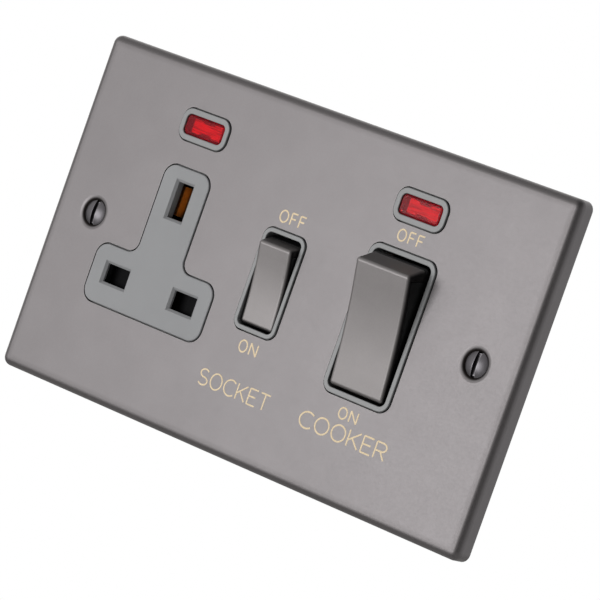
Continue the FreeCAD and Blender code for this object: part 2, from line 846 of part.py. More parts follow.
def make_neon(centre, prefix):
    """A neon indicator: frame with a pocket behind its window, lens, diffuser, lamp and resistor."""
    body = new_body(prefix + "_neon_frame")
    face = front - d.frame_proud
    outline = front_sketch(body, "NeonOutline", face, centre, d.neon_z)
    rounded_rectangle(outline, d.neon_width, d.neon_height, d.neon_corner)
    pad(body, outline, d.neon_body_depth - face)
    flange = front_sketch(body, "NeonFlange", sheet_back, centre, d.neon_z)
    rounded_rectangle(
        flange,
        d.neon_width + d.flange_lap * 2,
        d.neon_height + d.flange_lap * 2,
        d.neon_corner + d.flange_lap,
    )
    pad(body, flange, d.flange_thickness)
    window = front_sketch(body, "NeonWindow", face, centre, d.neon_z)
    rounded_rectangle(window, d.neon_window_width, d.neon_window_height, d.neon_window_corner)
    hollow = pocket(body, window, d.neon_body_depth - d.neon_back_wall - face)
    dress(body, "PartDesign::Fillet", hollow, d.frame_rim, at_depth(face))
    keep(body, prefix + "_neon_frame")

    lens = new_body(prefix + "_neon_lens")
    lens_face = face + d.lens_setback
    outline = front_sketch(lens, "LensOutline", lens_face, centre, d.neon_z)
    rounded_rectangle(
        outline,
        d.neon_window_width - d.lens_gap * 2,
        d.neon_window_height - d.lens_gap * 2,
        d.neon_window_corner - d.lens_gap,
    )
    solid = pad(lens, outline, d.lens_thickness)
    dress(lens, "PartDesign::Chamfer", solid, d.lens_bevel, at_depth(lens_face))
    rear = front_sketch(lens, "LensHollow", lens_face + d.lens_thickness, centre, d.neon_z)
    rectangle(rear, d.lens_hollow_width, d.lens_hollow_height)
    pocket(lens, rear, d.lens_hollow_depth, forwards=True)
    keep(lens, prefix + "_neon_lens")

    diffuser = new_body(prefix + "_neon_diffuser")
    hollow_front = lens_face + d.lens_thickness - d.lens_hollow_depth
    outline = front_sketch(
        diffuser, "DiffuserOutline", hollow_front + d.diffuser_gap, centre, d.neon_z
    )
    across = d.lens_hollow_width / 2 - d.diffuser_gap
    up = d.lens_hollow_height / 2 - d.diffuser_gap
    notch = up - d.diffuser_notch_depth
    wide = d.diffuser_notch_half
    narrow = wide - d.diffuser_notch_slope
    polygon(
        outline,
        [
            (-across, -up),
            (-wide, -up),
            (-narrow, -notch),
            (narrow, -notch),
            (wide, -up),
            (across, -up),
            (across, up),
            (wide, up),
            (narrow, notch),
            (-narrow, notch),
            (-wide, up),
            (-across, up),
        ],
    )
    pad(diffuser, outline, d.diffuser_thickness)
    keep(diffuser, prefix + "_neon_diffuser")

    lamp = rod(centre - d.lamp_length / 2, d.lamp_y, d.neon_z, d.lamp_radius, d.lamp_length, "X")
    keep(lamp, prefix + "_neon_lamp")
    resistor = rod(
        centre - d.resistor_length / 2,
        d.resistor_y,
        d.neon_z,
        d.resistor_radius,
        d.resistor_length,
        "X",
    )
    keep(resistor, prefix + "_neon_resistor")


def make_rear_housing():
    """The rear moulding: a tray with ribs, screw posts, guides for the shutter and wire entries."""
    body = new_body("rear_housing")
    rear = d.housing_floor + d.housing_base
    outline = front_sketch(body, "HousingOutline", flange_back)
    rounded_rectangle(outline, d.housing_width, d.housing_height, d.housing_corner)
    pad(body, outline, rear - flange_back)
    hollow = front_sketch(body, "HousingHollow", flange_back)
    rounded_rectangle(
        hollow,
        d.housing_width - d.housing_wall * 2,
        d.housing_height - d.housing_wall * 2,
        d.housing_corner - d.housing_wall,
    )
    pocket(body, hollow, d.housing_floor - flange_back)
    rib_end = link_front - d.link_notch
    inside = d.housing_height - d.housing_wall
    for rib_x in (d.rib_left_x, d.rib_right_x):
        rib = front_sketch(body, "Rib", flange_back, rib_x)
        rectangle(rib, d.rib_thickness, inside)
        pad(body, rib, rib_end - flange_back)
    guide_front = d.shutter_front + d.shutter_thickness + d.shutter_guide_gap
    guide_top = d.tee_shoulder
    guide_height = guide_top + half_housing - d.housing_wall / 2
    for side in (-1, 1):
        guide = front_sketch(
            body,
            "ShutterGuide",
            guide_front,
            d.socket_x + d.shutter_guide_x * side,
            guide_top - guide_height / 2,
        )
        rectangle(guide, d.rib_thickness, guide_height)
        pad(body, guide, rib_end - guide_front)
    seat_front = d.spring_y - d.spring_radius
    seat = front_sketch(body, "SpringSeat", seat_front, d.socket_x, spring_seat_z())
    half_seat = d.shutter_guide_x
    polygon(
        seat,
        [
            (-half_seat, -d.rib_thickness),
            (half_seat, -d.rib_thickness),
            (half_seat, 0),
            (-half_seat, 0),
        ],
    )
    pad(body, seat, rib_end - seat_front)
    for x, z in POSTS:
        post = front_sketch(body, "Post", flange_back, x, z)
        circle(post, d.post_radius)
        pad(body, post, d.housing_floor + d.housing_base / 2 - flange_back)
    for x, z in POSTS:
        socket = front_sketch(body, "PillarSocket", flange_back, x, z)
        circle(socket, d.pillar_radius + d.pillar_gap)
        pocket(body, socket, sheet_back + d.pillar_length + d.pillar_gap - flange_back)
        hole = front_sketch(body, "ScrewHole", flange_back, x, z)
        circle(hole, d.tapping_radius + d.pillar_gap)
        pocket(body, hole)
        recess = front_sketch(body, "ScrewRecess", rear, x, z)
        circle(recess, d.tapping_head_radius + d.access_gap)
        pocket(body, recess, d.tapping_recess, forwards=True)
    notch = front_sketch(
        body,
        "LineLinkNotch",
        d.line_link_y - d.link_notch,
        d.rib_right_x,
        d.line_link_top - d.line_link_width / 2,
    )
    rectangle(notch, d.rib_thickness * 3, d.line_link_width + d.link_notch * 2)
    pocket(body, notch, rib_end - d.line_link_y + d.link_notch * 2)
    access = [(x, z, d.clamp_head_radius) for x, z, label in TERMINALS]
    for side in (-1, 1):
        access.append((earth_bore_x(side), terminal_z, d.clamp_head_radius))
    for x, z, radius in access:
        hole = front_sketch(body, "ClampAccess", d.housing_floor - d.housing_base, x, z)
        circle(hole, radius + d.access_gap)
        pocket(body, hole, d.housing_base * 3)
    entries = [(neutral_terminal_x, d.terminal_bore_radius), (line_terminal_x, d.terminal_bore_radius)]
    for x, radius in entries:
        hole = plan_sketch(body, "LowerEntry", -half_housing, x, terminal_axis)
        circle(hole, radius + d.entry_gap)
        pocket(body, hole, d.housing_wall * 2, forwards=True)
    for side in (-1, 1):
        entries.append((earth_bore_x(side), d.earth_bore_radius))
    for x, radius in entries:
        hole = plan_sketch(body, "UpperEntry", half_housing, x, terminal_axis)
        circle(hole, radius + d.entry_gap)
        pocket(body, hole, d.housing_wall * 2)
    keep(body, "rear_housing")


def spring_seat_z():
    """The height of the ledge under the shutter's spring."""
    return shutter_bottom() - d.spring_length - d.spring_seat_gap * 2


def shutter_bottom():
    """The lower edge of the shutter at rest."""
    return pole_z - d.shutter_arm_height / 2


def earth_bore_x(side):
    """The place of one of the two bores in the earth terminal."""
    return d.earth_terminal_x + d.earth_bore_spacing / 2 * side


def make_pillars_and_screws():
    """The pillars on the back of the plate and the screws that hold the housing to them."""
    pillars = []
    screws = []
    rear = d.housing_floor + d.housing_base
    head_y = rear - d.tapping_recess
    for x, z in POSTS:
        pillar = rod(x, sheet_back, z, d.pillar_radius, d.pillar_length)
        tapped = rod(
            x, flange_back, z, d.tapping_radius + d.thread_gap, d.pillar_length
        )
        pillars.append(cut(pillar, tapped))
        shank = rod(x, head_y - d.tapping_length, z, d.tapping_radius, d.tapping_length)
        head = rod(x, head_y, z, d.tapping_head_radius, d.tapping_head_height)
        slot_front = head_y + d.tapping_head_height - d.clamp_slot_depth
        slots = [
            block(x, slot_front, z, d.clamp_slot_width, d.tapping_head_height, d.tapping_head_radius),
            block(x, slot_front, z, d.tapping_head_radius, d.tapping_head_height, d.clamp_slot_width),
        ]
        screws.append(cut(fuse(shank, head), *slots))
    keep(group(pillars), "plate_pillars")
    keep(group(screws), "housing_screws")


def clamp_screw(x, z, bore_radius):
    """A terminal's clamp screw, backed off so that its bore is clear."""
    tip = terminal_axis + bore_radius + d.clamp_stand_off
    shank = rod(x, tip, z, d.clamp_radius, d.housing_floor - tip)
    head = rod(x, d.housing_floor, z, d.clamp_head_radius, d.clamp_head_height)
    slot_front = d.housing_floor + d.clamp_head_height - d.clamp_slot_depth
    slot = block(
        x, slot_front, z, d.clamp_head_radius * 3, d.clamp_slot_depth * 2, d.clamp_slot_width
    )
    return cut(fuse(shank, head), slot)


def make_terminals():
    """Tunnel terminals: four large ones for the cooker circuit and a double one for earth."""
    screws = []
    for x, z, label in TERMINALS:
        solid = block(x, terminal_front, z, d.terminal_width, d.terminal_depth, d.terminal_length)
        bore = rod(
            x,
            terminal_axis,
            z - d.terminal_length,
            d.terminal_bore_radius,
            d.terminal_length * 2,
            "Z",
        )
        thread = rod(x, terminal_axis, z, d.clamp_radius + d.thread_gap, d.terminal_depth)
        keep(cut(solid, bore, thread), label)
        screws.append(clamp_screw(x, z, d.terminal_bore_radius))
    earth = block(
        d.earth_terminal_x,
        terminal_front,
        terminal_z,
        d.earth_terminal_width,
        d.terminal_depth,
        d.terminal_length,
    )
    for side in (-1, 1):
        x = earth_bore_x(side)
        bore = rod(
            x,
            terminal_axis,
            terminal_z - d.terminal_length,
            d.earth_bore_radius,
            d.terminal_length * 2,
            "Z",
        )
        thread = rod(x, terminal_axis, terminal_z, d.clamp_radius + d.thread_gap, d.terminal_depth)
        earth = cut(earth, bore, thread)
        screws.append(clamp_screw(x, terminal_z, d.earth_bore_radius))
    keep(earth, "earth_terminal")
    keep(group(screws), "terminal_screws")


def flat_link(corners, y, label):
    """A flat strip cut to an outline and laid across the housing."""
    body = new_body(label)
    outline = front_sketch(body, "LinkOutline", y)
    polygon(outline, corners)
    pad(body, outline, d.link_thickness)
    keep(body, label)


def make_links():
    """The strips that join the terminals, the switch and the socket."""
    left = neutral_x - d.link_width / 2
    right = neutral_x + d.link_width / 2
    low = d.neutral_link_top - d.neutral_link_width
    end = neutral_terminal_x + d.link_width / 2
    touch = -terminal_edge
    flat_link(
        [
            (left, low),
            (neutral_terminal_x - d.link_width / 2, low),
            (neutral_terminal_x - d.link_width / 2, touch),
            (end, touch),
            (end, d.neutral_link_top),
            (right, d.neutral_link_top),
            (right, pole_z + d.contact_base_length / 2),
            (left, pole_z + d.contact_base_length / 2),
        ],
        link_front,
        "neutral_link",
    )
    run_low = d.switched_link_z - d.switched_link_width / 2
    run_high = d.switched_link_z + d.switched_link_width / 2
    line_left = line_x - d.link_width / 2
    line_right = line_x + d.link_width / 2
    switch_right = socket_switch.x + d.pole_strip_width / 2
    flat_link(
        [
            (line_left, pole_z - d.contact_base_length / 2),
            (line_right, pole_z - d.contact_base_length / 2),
            (line_right, run_low),
            (switch_right, run_low),
            (switch_right, run_high),
            (line_left, run_high),
        ],
        link_front,
        "switched_link",
    )
    earth_left = d.socket_x - d.link_width / 2
    rise_left = d.earth_terminal_x - d.link_width / 2
    rise_right = d.earth_terminal_x + d.link_width / 2
    earth_low = earth_z - d.contact_base_length / 2
    earth_high = earth_z + d.contact_base_length / 2
    flat_link(
        [
            (earth_left, earth_low),
            (rise_right, earth_low),
            (rise_right, terminal_edge),
            (rise_left, terminal_edge),
            (rise_left, earth_high),
            (earth_left, earth_high),
        ],
        link_front,
        "earth_link",
    )
    tab_left = line_terminal_x - d.terminal_width / 2
    tab_right = tab_left + d.line_tab_width
    line_low = d.line_link_top - d.line_link_width
    start = socket_switch.x - d.pole_strip_width / 2
    flat_link(
        [
            (start, line_low),
            (tab_left, line_low),
            (tab_left, -terminal_edge),
            (tab_right, -terminal_edge),
            (tab_right, d.line_link_top),
            (start, d.line_link_top),
        ],
        d.line_link_y,
        "line_link",
    )


def make_pole_contact(x, label):
    """A pole's socket contact: two level leaves with flared lips, joined behind."""
    body = new_body(label)
    profile = side_sketch(body, "PoleProfile", x, 0, pole_z)
    inner = d.pole_gap / 2
    outer = inner + d.strip_thickness
    lip = d.pole_contact_front + d.contact_flare_length
    polygon(
        profile,
        [
            (d.pole_contact_front, inner + d.contact_flare),
            (lip, inner),
            (base_front, inner),
            (base_front, -inner),
            (lip, -inner),
            (d.pole_contact_front, -inner - d.contact_flare),
            (d.pole_contact_front, -outer - d.contact_flare),
            (lip, -outer),
            (link_front, -outer),
            (link_front, outer),
            (lip, outer),
            (d.pole_contact_front, outer + d.contact_flare),
        ],
    )
    pad(body, profile, d.pole_contact_width, symmetric=True)
    keep(body, label)


def make_earth_contact():
    """The earth contact: two upright leaves with flared lips, joined behind."""
    body = new_body("earth_contact")
    profile = plan_sketch(body, "EarthProfile", earth_z, d.socket_x)
    inner = d.earth_gap / 2
    outer = inner + d.strip_thickness
    start = d.earth_contact_front
    lip = start + d.contact_flare_length
    polygon(
        profile,
        [
            (inner + d.contact_flare, start),
            (outer + d.contact_flare, start),
            (outer, lip),
            (outer, link_front),
            (-outer, link_front),
            (-outer, lip),
            (-outer - d.contact_flare, start),
            (-inner - d.contact_flare, start),
            (-inner, lip),
            (-inner, base_front),
            (inner, base_front),
            (inner, lip),
        ],
    )
    pad(body, profile, d.earth_contact_height, symmetric=True)
    keep(body, "earth_contact")


def make_shutter():
    """The shutter: arms over both pole slots and a sloping cam behind the earth slot."""
    body = new_body("shutter")
    plate = front_sketch(body, "ShutterPlate", d.shutter_front, d.socket_x)
    arm = d.shutter_span / 2
    stem = d.shutter_stem_width / 2
    bottom = shutter_bottom()
    arm_top = bottom + d.shutter_arm_height
    polygon(
        plate,
        [
            (-arm, bottom),
            (arm, bottom),
            (arm, arm_top),
            (stem, arm_top),
            (stem, d.shutter_stem_top),
            (-stem, d.shutter_stem_top),
            (-stem, arm_top),
            (-arm, arm_top),
        ],
    )
    pad(body, plate, d.shutter_thickness)
    cam = side_sketch(body, "ShutterCam", d.socket_x, d.shutter_front)
    foot = d.shutter_stem_top - d.shutter_arm_height / 2
    toe = earth_z - d.earth_slot_height / 2
    polygon(
        cam,
        [
            (0, foot),
            (d.shutter_thickness, foot),
            (d.shutter_cam_rise, toe),
            (d.shutter_cam_rise, toe + d.shutter_cam_rise),
            (0, toe),
        ],
    )
    pad(body, cam, d.shutter_cam_width, symmetric=True)
    keep(body, "shutter")


def wind(body, sketch, height, turns):
    """A round-wire compression spring, wound about the upright axis of its sketch."""
    coil = body.newObject("PartDesign::AdditiveHelix", "Coil")
    coil.Profile = sketch
    coil.ReferenceAxis = (sketch, ["V_Axis"])
    coil.Mode = "height-turns-growth"
    bind(coil, "Height", height - d.spring_wire * 2)
    bind(coil, "Turns", turns)


def make_shutter_spring():
    """The spring that lifts the shutter, upright on its ledge."""
    body = new_body("shutter_spring")
    base = spring_seat_z() + d.spring_seat_gap
    sketch = front_sketch(body, "SpringWire", d.spring_y, d.socket_x, base)
    circle(sketch, d.spring_wire, d.spring_radius, d.spring_wire)
    wind(body, sketch, d.spring_length, d.spring_turns)
    keep(body, "shutter_spring")


def place_on_pivot(body, switch):
    """Puts a piece drawn about its pivot at the rocker's ON position."""
    body.Placement = Placement(Vector(), Rotation(Vector(1, 0, 0), 1))
    body.setExpression("Placement.Rotation.Angle", f"{switch.tilt.formula} * 1 deg")
    bind(body, "Placement.Base.x", switch.x)
    bind(body, "Placement.Base.y", pivot_y(switch))
    bind(body, "Placement.Base.z", d.switch_z)


def end_height(switch, depth):
    """Half the rocker's height at a depth behind its raised ends."""
    lean = (switch.base - switch.face) / 2
    return switch.face / 2 + lean * depth / switch.reach


def make_rocker_cap(switch, label):
    """The metal cap: a dished face folded back over the ends and sides of the rocker."""
    body = new_body(label)
    half = switch.face / 2
    skirt_y = switch.skirt - switch.reach
    outline = side_sketch(body, "CapOutline")
    polygon(
        outline,
        [
            (-switch.reach, -half),
            (skirt_y, -end_height(switch, switch.skirt)),
            (skirt_y, end_height(switch, switch.skirt)),
            (-switch.reach, half),
            (switch.valley - switch.reach, 0),
        ],
    )
    solid = pad(body, outline, switch.width, symmetric=True)

    def is_valley(edge):
        box = edge.BoundBox
        return box.ZLength < 0.01 and abs(box.ZMin) < 0.01 and box.YMax < skirt_y.value - 0.1

    dished = dress(body, "PartDesign::Fillet", solid, switch.valley_radius, is_valley)
    rim = (switch.valley - switch.reach).value + 0.5

    def is_rim(edge):
        box = edge.BoundBox
        at_side = box.XLength < 0.01
        at_end = box.ZLength < 0.01 and abs(box.ZMin) > half.value - 0.1
        in_front = box.YMax < rim
        is_corner = at_side and abs(box.ZMin) > half.value - 1 and box.YMax < skirt_y.value + 0.01
        spans_height = box.ZLength > 2 * half.value
        return (in_front and (at_side or at_end)) or (is_corner and not spans_height)

    dress(body, "PartDesign::Fillet", dished, d.cap_edge, is_rim)
    hollow = side_sketch(body, "CapHollow")
    inner = cap_inside(switch, d.cap_wall, skirt_y + 1)
    polygon(hollow, inner)
    pocket(body, hollow, switch.width - d.cap_wall * 2, symmetric=True)
    opening = side_sketch(body, "CapSideOpening")
    polygon(opening, cheek_outline(switch, d.cap_side_skirt, 0, skirt_y + 1))
    pocket(body, opening, switch.width * 2, symmetric=True)
    place_on_pivot(body, switch)
    keep(body, label)


def cheek_outline(switch, behind, inset, rear_y):
    """The bare side of the rocker between the cap's folded ends, at a distance behind its face."""
    half = switch.face / 2 - d.cap_end_return - inset
    edge_y = as_size(behind) - switch.reach
    return [
        (edge_y, -half),
        (rear_y, -half),
        (rear_y, half),
        (edge_y, half),
        (switch.valley + edge_y, 0),
    ]


def cap_inside(switch, inset, rear_y):
    """The corners of the cap's outline moved inwards, and run back to a depth."""
    half = switch.face / 2 - inset
    face_y = inset - switch.reach
    rear = end_height(switch, rear_y + switch.reach) - inset
    return [
        (face_y, -half),
        (rear_y, -rear),
        (rear_y, rear),
        (face_y, half),
        (switch.valley + inset - switch.reach, 0),
    ]


def make_rocker(switch, label):
    """The rocker's moulding: a core under the cap, a wider body, pivot stubs and plunger bosses."""
    body = new_body(label)
    ledge_y = switch.skirt + d.ledge_gap - switch.reach
    inset = d.cap_wall + d.cap_gap
    core = side_sketch(body, "RockerCore")
    polygon(core, cap_inside(switch, inset, ledge_y + d.rocker_shell))
    pad(body, core, switch.width - inset * 2, symmetric=True)
    skirt = side_sketch(body, "RockerBody")
    ledge = end_height(switch, switch.skirt + d.ledge_gap)
    base = switch.base / 2
    tail = switch.tail_height / 2
    polygon(
        skirt,
        [
            (ledge_y, -ledge),
            (0, -base),
            (switch.tail, -tail),
            (switch.tail, tail),
            (0, base),
            (ledge_y, ledge),
        ],
    )
    pad(body, skirt, switch.width, symmetric=True)
    cheeks = side_sketch(body, "RockerCheeks")
    polygon(
        cheeks,
        cheek_outline(
            switch, d.cap_side_skirt + d.ledge_gap, d.ledge_gap, ledge_y + d.rocker_shell
        ),
    )
    solid = pad(body, cheeks, switch.width, symmetric=True)

    def at_body_corner(edge):
        box = edge.BoundBox
        far = min(abs(box.ZMin), abs(box.ZMax)) > tail.value - 0.05
        return box.XLength < 0.01 and far and box.YMin > ledge_y.value - 0.01 and box.YLength > 0.5

    dress(body, "PartDesign::Fillet", solid, d.cap_edge, at_body_corner)
    hollow = front_sketch(body, "RockerHollow", switch.tail)
    rectangle(
        hollow, switch.width - d.rocker_shell * 2, switch.tail_height - d.rocker_shell * 2
    )
    pocket(body, hollow, d.rocker_hollow_depth, forwards=True)
    stubs = side_sketch(body, "RockerStubs")
    circle(stubs, switch.stub_radius)
    reach = switch.opening_width + switch.ring * 2 - d.stub_end_gap * 2
    pad(body, stubs, reach, symmetric=True)
    for side in plunger_sides(switch):
        boss = front_sketch(body, "PlungerBoss", switch.tail, switch.pole_offset * side)
        circle(boss, d.plunger_radius + d.plunger_boss_wall)
        pad(body, boss, d.rocker_hollow_depth + d.rocker_shell / 2, backwards=False)
    for side in plunger_sides(switch):
        bore = front_sketch(body, "PlungerBore", switch.tail, switch.pole_offset * side)
        circle(bore, d.plunger_radius + d.plunger_bore_gap)
        depth = d.plunger_tail + d.plunger_spring_length + d.spring_seat_gap * 2
        pocket(body, bore, depth, forwards=True)
    place_on_pivot(body, switch)
    keep(body, label)


def plunger_sides(switch):
    """One plunger on the centre line, or one each side of it."""
    return (-1, 1) if switch.pole_offset.value else (0,)


def notch_surface(switch):
    """How far the blade's front stands ahead of its rocking line, at the saddle."""
    return d.pivot_bead + d.bead_gap + switch.blade_thickness


def tip_centre_y(switch):
    """The centre of the plunger's round tip, behind the rocker's pivot."""
    return switch.blade_reach - notch_surface(switch) - switch.tip_radius - d.plunger_gap


def make_plunger(switch, side, label):
    """A plunger that rides in the rocker and presses on the blade, turned about its axis."""
    body = new_body(label)
    profile = plan_sketch(body, "PlungerProfile", 0, switch.pole_offset * side)
    end = switch.tail - d.plunger_tail
    tip = tip_centre_y(switch)
    points = [
        (0, end),
        (d.plunger_radius, end),
        (d.plunger_radius, tip - d.plunger_cone),
        (switch.tip_radius, tip),
        (0, tip + switch.tip_radius),
    ]
    spots = [Vector(as_size(across).value, as_size(along).value, 0) for across, along in points]
    for start, stop in zip(spots[:3], spots[1:4]):
        profile.addGeometry(Part.LineSegment(start, stop))
    ball = Part.Circle(Vector(0, spots[3].y, 0), Vector(0, 0, 1), switch.tip_radius.value)
    profile.addGeometry(Part.ArcOfCircle(ball, 0, math.pi / 2))
    profile.addGeometry(Part.LineSegment(spots[4], spots[0]))
    count = len(points)
    for index in range(count):
        profile.addConstraint(
            Sketcher.Constraint("Coincident", index, 2, (index + 1) % count, 1)
        )
    for index, (across, along) in enumerate(points):
        hold(profile, index, 1, "DistanceX", across)
        hold(profile, index, 1, "DistanceY", along)
    profile.addConstraint(Sketcher.Constraint("PointOnObject", 3, 3, -2))
    revolve(body, profile)
    place_on_pivot(body, switch)
    keep(body, label)


def make_plunger_spring(switch, side, label):
    """The spring behind a plunger, in the rocker's bore."""
    body = new_body(label)
    start = switch.tail - d.plunger_tail - d.spring_seat_gap - d.plunger_spring_length
    sketch = plan_sketch(body, "SpringWire", 0, switch.pole_offset * side)
    circle(sketch, d.spring_wire, d.spring_radius, start + d.spring_wire)
    wind(body, sketch, d.plunger_spring_length, d.spring_turns - 1)
    place_on_pivot(body, switch)
    keep(body, label)


def place_on_blade_axis(body, switch, x):
    """Puts a blade drawn about its rocking line at its closed position."""
    body.Placement = Placement(Vector(), Rotation(Vector(-1, 0, 0), 1))
    body.setExpression("Placement.Rotation.Angle", f"{switch.blade_swing.formula} * 1 deg")
    bind(body, "Placement.Base.x", x)
    bind(body, "Placement.Base.y", blade_axis_y(switch))
    bind(body, "Placement.Base.z", d.switch_z)


def make_blade(switch, x, label):
    """A rocking contact blade with a saddle for the plunger and a contact button."""
    body = new_body(label)
    back = -(d.pivot_bead + d.bead_gap)
    floor = -notch_surface(switch)
    top = floor - switch.saddle
    half = switch.blade_length / 2
    foot = switch.tip_radius * 0.6
    brow = switch.tip_radius * 1.4
    profile = side_sketch(body, "BladeProfile")
    polygon(
        profile,
        [
            (back, -half),
            (back, half),
            (top, half),
            (top, brow),
            (floor, foot),
            (floor, -foot),
            (top, -brow),
            (top, -half),
        ],
    )
    pad(body, profile, d.pole_strip_width, symmetric=True)
    button = front_sketch(body, "ContactButton", back, 0, half - d.contact_inset - d.button_radius / 2)
    circle(button, d.button_radius)
    pad(body, button, d.button_height)
    place_on_blade_axis(body, switch, x)
    keep(body, label)


def make_pivot_bracket(switch, x, foot_end, label, riser_top=None):
    """The bracket that a blade rocks on: a post with a round top and a foot along the floor."""
    body = new_body(label)
    axis_y = blade_axis_y(switch)
    bead = d.pivot_bead
    profile = side_sketch(body, "BracketProfile", x, 0, d.switch_z)
    foot_bottom = -(as_size(foot_end) + d.switch_z)
    corners = [
        (axis_y, bead),
        (axis_y, -bead),
        (link_front, -bead),
    ]
    if riser_top is None:
        corners += [(link_front, foot_bottom), (d.housing_floor, foot_bottom)]
    else:
        corners += [
            (link_front, foot_bottom + d.link_thickness),
            (riser_top, foot_bottom + d.link_thickness),
            (riser_top, foot_bottom),
            (d.housing_floor, foot_bottom),
        ]
    corners.append((d.housing_floor, bead))
    polygon(profile, corners)
    pad(body, profile, d.pole_strip_width, symmetric=True)
    top = side_sketch(body, "BracketTop", x, axis_y, d.switch_z)
    circle(top, bead)
    pad(body, top, d.pole_strip_width, symmetric=True)
    keep(body, label)


def fixed_contact_y(switch):
    """The face that a closed blade's button meets."""
    outer = switch.blade_length / 2 - d.contact_inset + d.button_radius / 2
    lift = outer * sine(switch.blade_swing)
    drop = (d.pivot_bead + d.bead_gap - d.button_height) * cosine(switch.blade_swing)
    return blade_axis_y(switch) + lift - drop + d.button_gap


def make_fixed_contact(switch, x, foot_end, base_y, label):
    """A fixed contact: a pad under the button, a leg down to the base and a foot along it."""
    body = new_body(label)
    face_y = fixed_contact_y(switch)
    leg = d.fixed_leg
    pad_top = switch.blade_length / 2 + d.switch_z
    pad_low = pad_top - d.fixed_pad_length
    profile = side_sketch(body, "FixedProfile", x)
    outer = pad_top + leg
    foot_end = as_size(foot_end)
    rear_y = base_y + leg
    if foot_end.value > outer.value:
        corners = [
            (face_y, pad_low),
            (face_y + leg, pad_low),
            (face_y + leg, pad_top),
            (rear_y, pad_top),
            (rear_y, foot_end),
            (base_y, foot_end),
            (base_y, outer),
            (face_y, outer),
        ]
    else:
        corners = [
            (face_y, pad_low),
            (face_y + leg, pad_low),
            (face_y + leg, pad_top),
            (base_y, pad_top),
            (base_y, foot_end),
            (rear_y, foot_end),
            (rear_y, outer),
            (face_y, outer),
        ]
    polygon(profile, corners)
    pad(body, profile, d.pole_strip_width, symmetric=True)
    keep(body, label)


def make_switches():
    """Both rockers with all that moves with them, and the contact gear behind."""
    for switch, name in ((socket_switch, "socket"), (cooker_switch, "cooker")):
        make_switch_frame(switch, name + "_switch_frame")
        make_rocker_cap(switch, name + "_rocker_cap")
        make_rocker(switch, name + "_rocker")
    make_plunger(socket_switch, 0, "socket_plunger")
    make_plunger_spring(socket_switch, 0, "socket_plunger_spring")
    make_blade(socket_switch, socket_switch.x, "socket_blade")
    line_low = d.line_link_width - d.line_link_top
    make_pivot_bracket(
        socket_switch,
        socket_switch.x,
        line_low,
        "socket_pivot_bracket",
        d.line_link_y + d.link_thickness,
    )
    make_fixed_contact(
        socket_switch,
        socket_switch.x,
        d.switched_link_z - d.switched_link_width / 2,
        link_front - d.fixed_leg,
        "socket_fixed_contact",
    )
    poles = ((-1, neutral_pole_x, "neutral"), (1, line_pole_x, "line"))
    for side, x, name in poles:
        make_plunger(cooker_switch, side, f"cooker_{name}_plunger")
        make_plunger_spring(cooker_switch, side, f"cooker_{name}_plunger_spring")
        make_blade(cooker_switch, x, f"cooker_{name}_blade")
        make_pivot_bracket(cooker_switch, x, terminal_edge, f"cooker_{name}_bracket")
        make_fixed_contact(
            cooker_switch, x, terminal_edge, link_front, f"cooker_{name}_fixed_contact"
        )


def check_features():
    """Stops the build if any object failed or any cut took nothing away."""
    for item in doc.Objects:
        if any(state in ("Invalid", "Error") for state in item.State):
            raise RuntimeError(f"{item.Name} ({item.Label}) is in state {item.State}")
        if item.TypeId in ("PartDesign::Pocket", "PartDesign::Groove"):
            if item.Shape.Volume > item.BaseFeature.Shape.Volume - 0.001:
                raise RuntimeError(f"{item.Name} cuts nothing")


def write_parts():
    """Checks each piece and writes it to its own file."""
    os.makedirs("parts", exist_ok=True)
    for piece in parts:
        shape = piece.Shape
        if shape.isNull() or not shape.isValid() or not shape.Solids:
            raise RuntimeError(f"{piece.Label} has no valid solid")
        shape.exportStep(f"parts/{piece.Label}.step")


make_front_plate()
make_fixing_screw(-1, "fixing_screw_left")
make_fixing_screw(1, "fixing_screw_right")
make_socket_insert()
make_neon(d.socket_x, "socket")
make_neon(cooker_switch.x, "cooker")
make_rear_housing()
make_pillars_and_screws()
make_terminals()
make_links()
make_pole_contact(neutral_x, "neutral_contact")
make_pole_contact(line_x, "line_contact")
make_earth_contact()
make_shutter()
make_shutter_spring()
make_switches()
doc.recompute()
check_features()
write_parts()
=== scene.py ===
import json
import math

import bmesh
import bpy
from mathutils import Matrix, Vector


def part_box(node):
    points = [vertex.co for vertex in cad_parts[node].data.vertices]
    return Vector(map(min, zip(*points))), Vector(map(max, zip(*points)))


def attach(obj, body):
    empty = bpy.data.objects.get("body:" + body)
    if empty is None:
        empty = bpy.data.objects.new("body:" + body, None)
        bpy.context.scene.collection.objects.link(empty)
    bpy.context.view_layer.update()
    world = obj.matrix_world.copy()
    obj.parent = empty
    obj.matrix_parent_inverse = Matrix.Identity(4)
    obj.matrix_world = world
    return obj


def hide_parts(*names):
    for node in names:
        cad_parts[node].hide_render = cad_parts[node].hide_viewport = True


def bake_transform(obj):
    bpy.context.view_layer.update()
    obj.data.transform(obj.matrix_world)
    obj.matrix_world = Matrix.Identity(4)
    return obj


# Dresses the frame's pieces, adds the fine ones that the CAD leaves out, and sets up the picture.

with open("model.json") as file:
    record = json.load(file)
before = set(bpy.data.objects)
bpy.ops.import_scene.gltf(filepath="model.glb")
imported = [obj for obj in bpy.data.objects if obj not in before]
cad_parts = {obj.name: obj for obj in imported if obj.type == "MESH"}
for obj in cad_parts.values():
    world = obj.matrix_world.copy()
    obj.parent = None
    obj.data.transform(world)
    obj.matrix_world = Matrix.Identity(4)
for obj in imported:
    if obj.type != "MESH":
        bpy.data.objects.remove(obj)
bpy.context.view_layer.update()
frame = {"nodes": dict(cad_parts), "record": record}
MM = 0.001

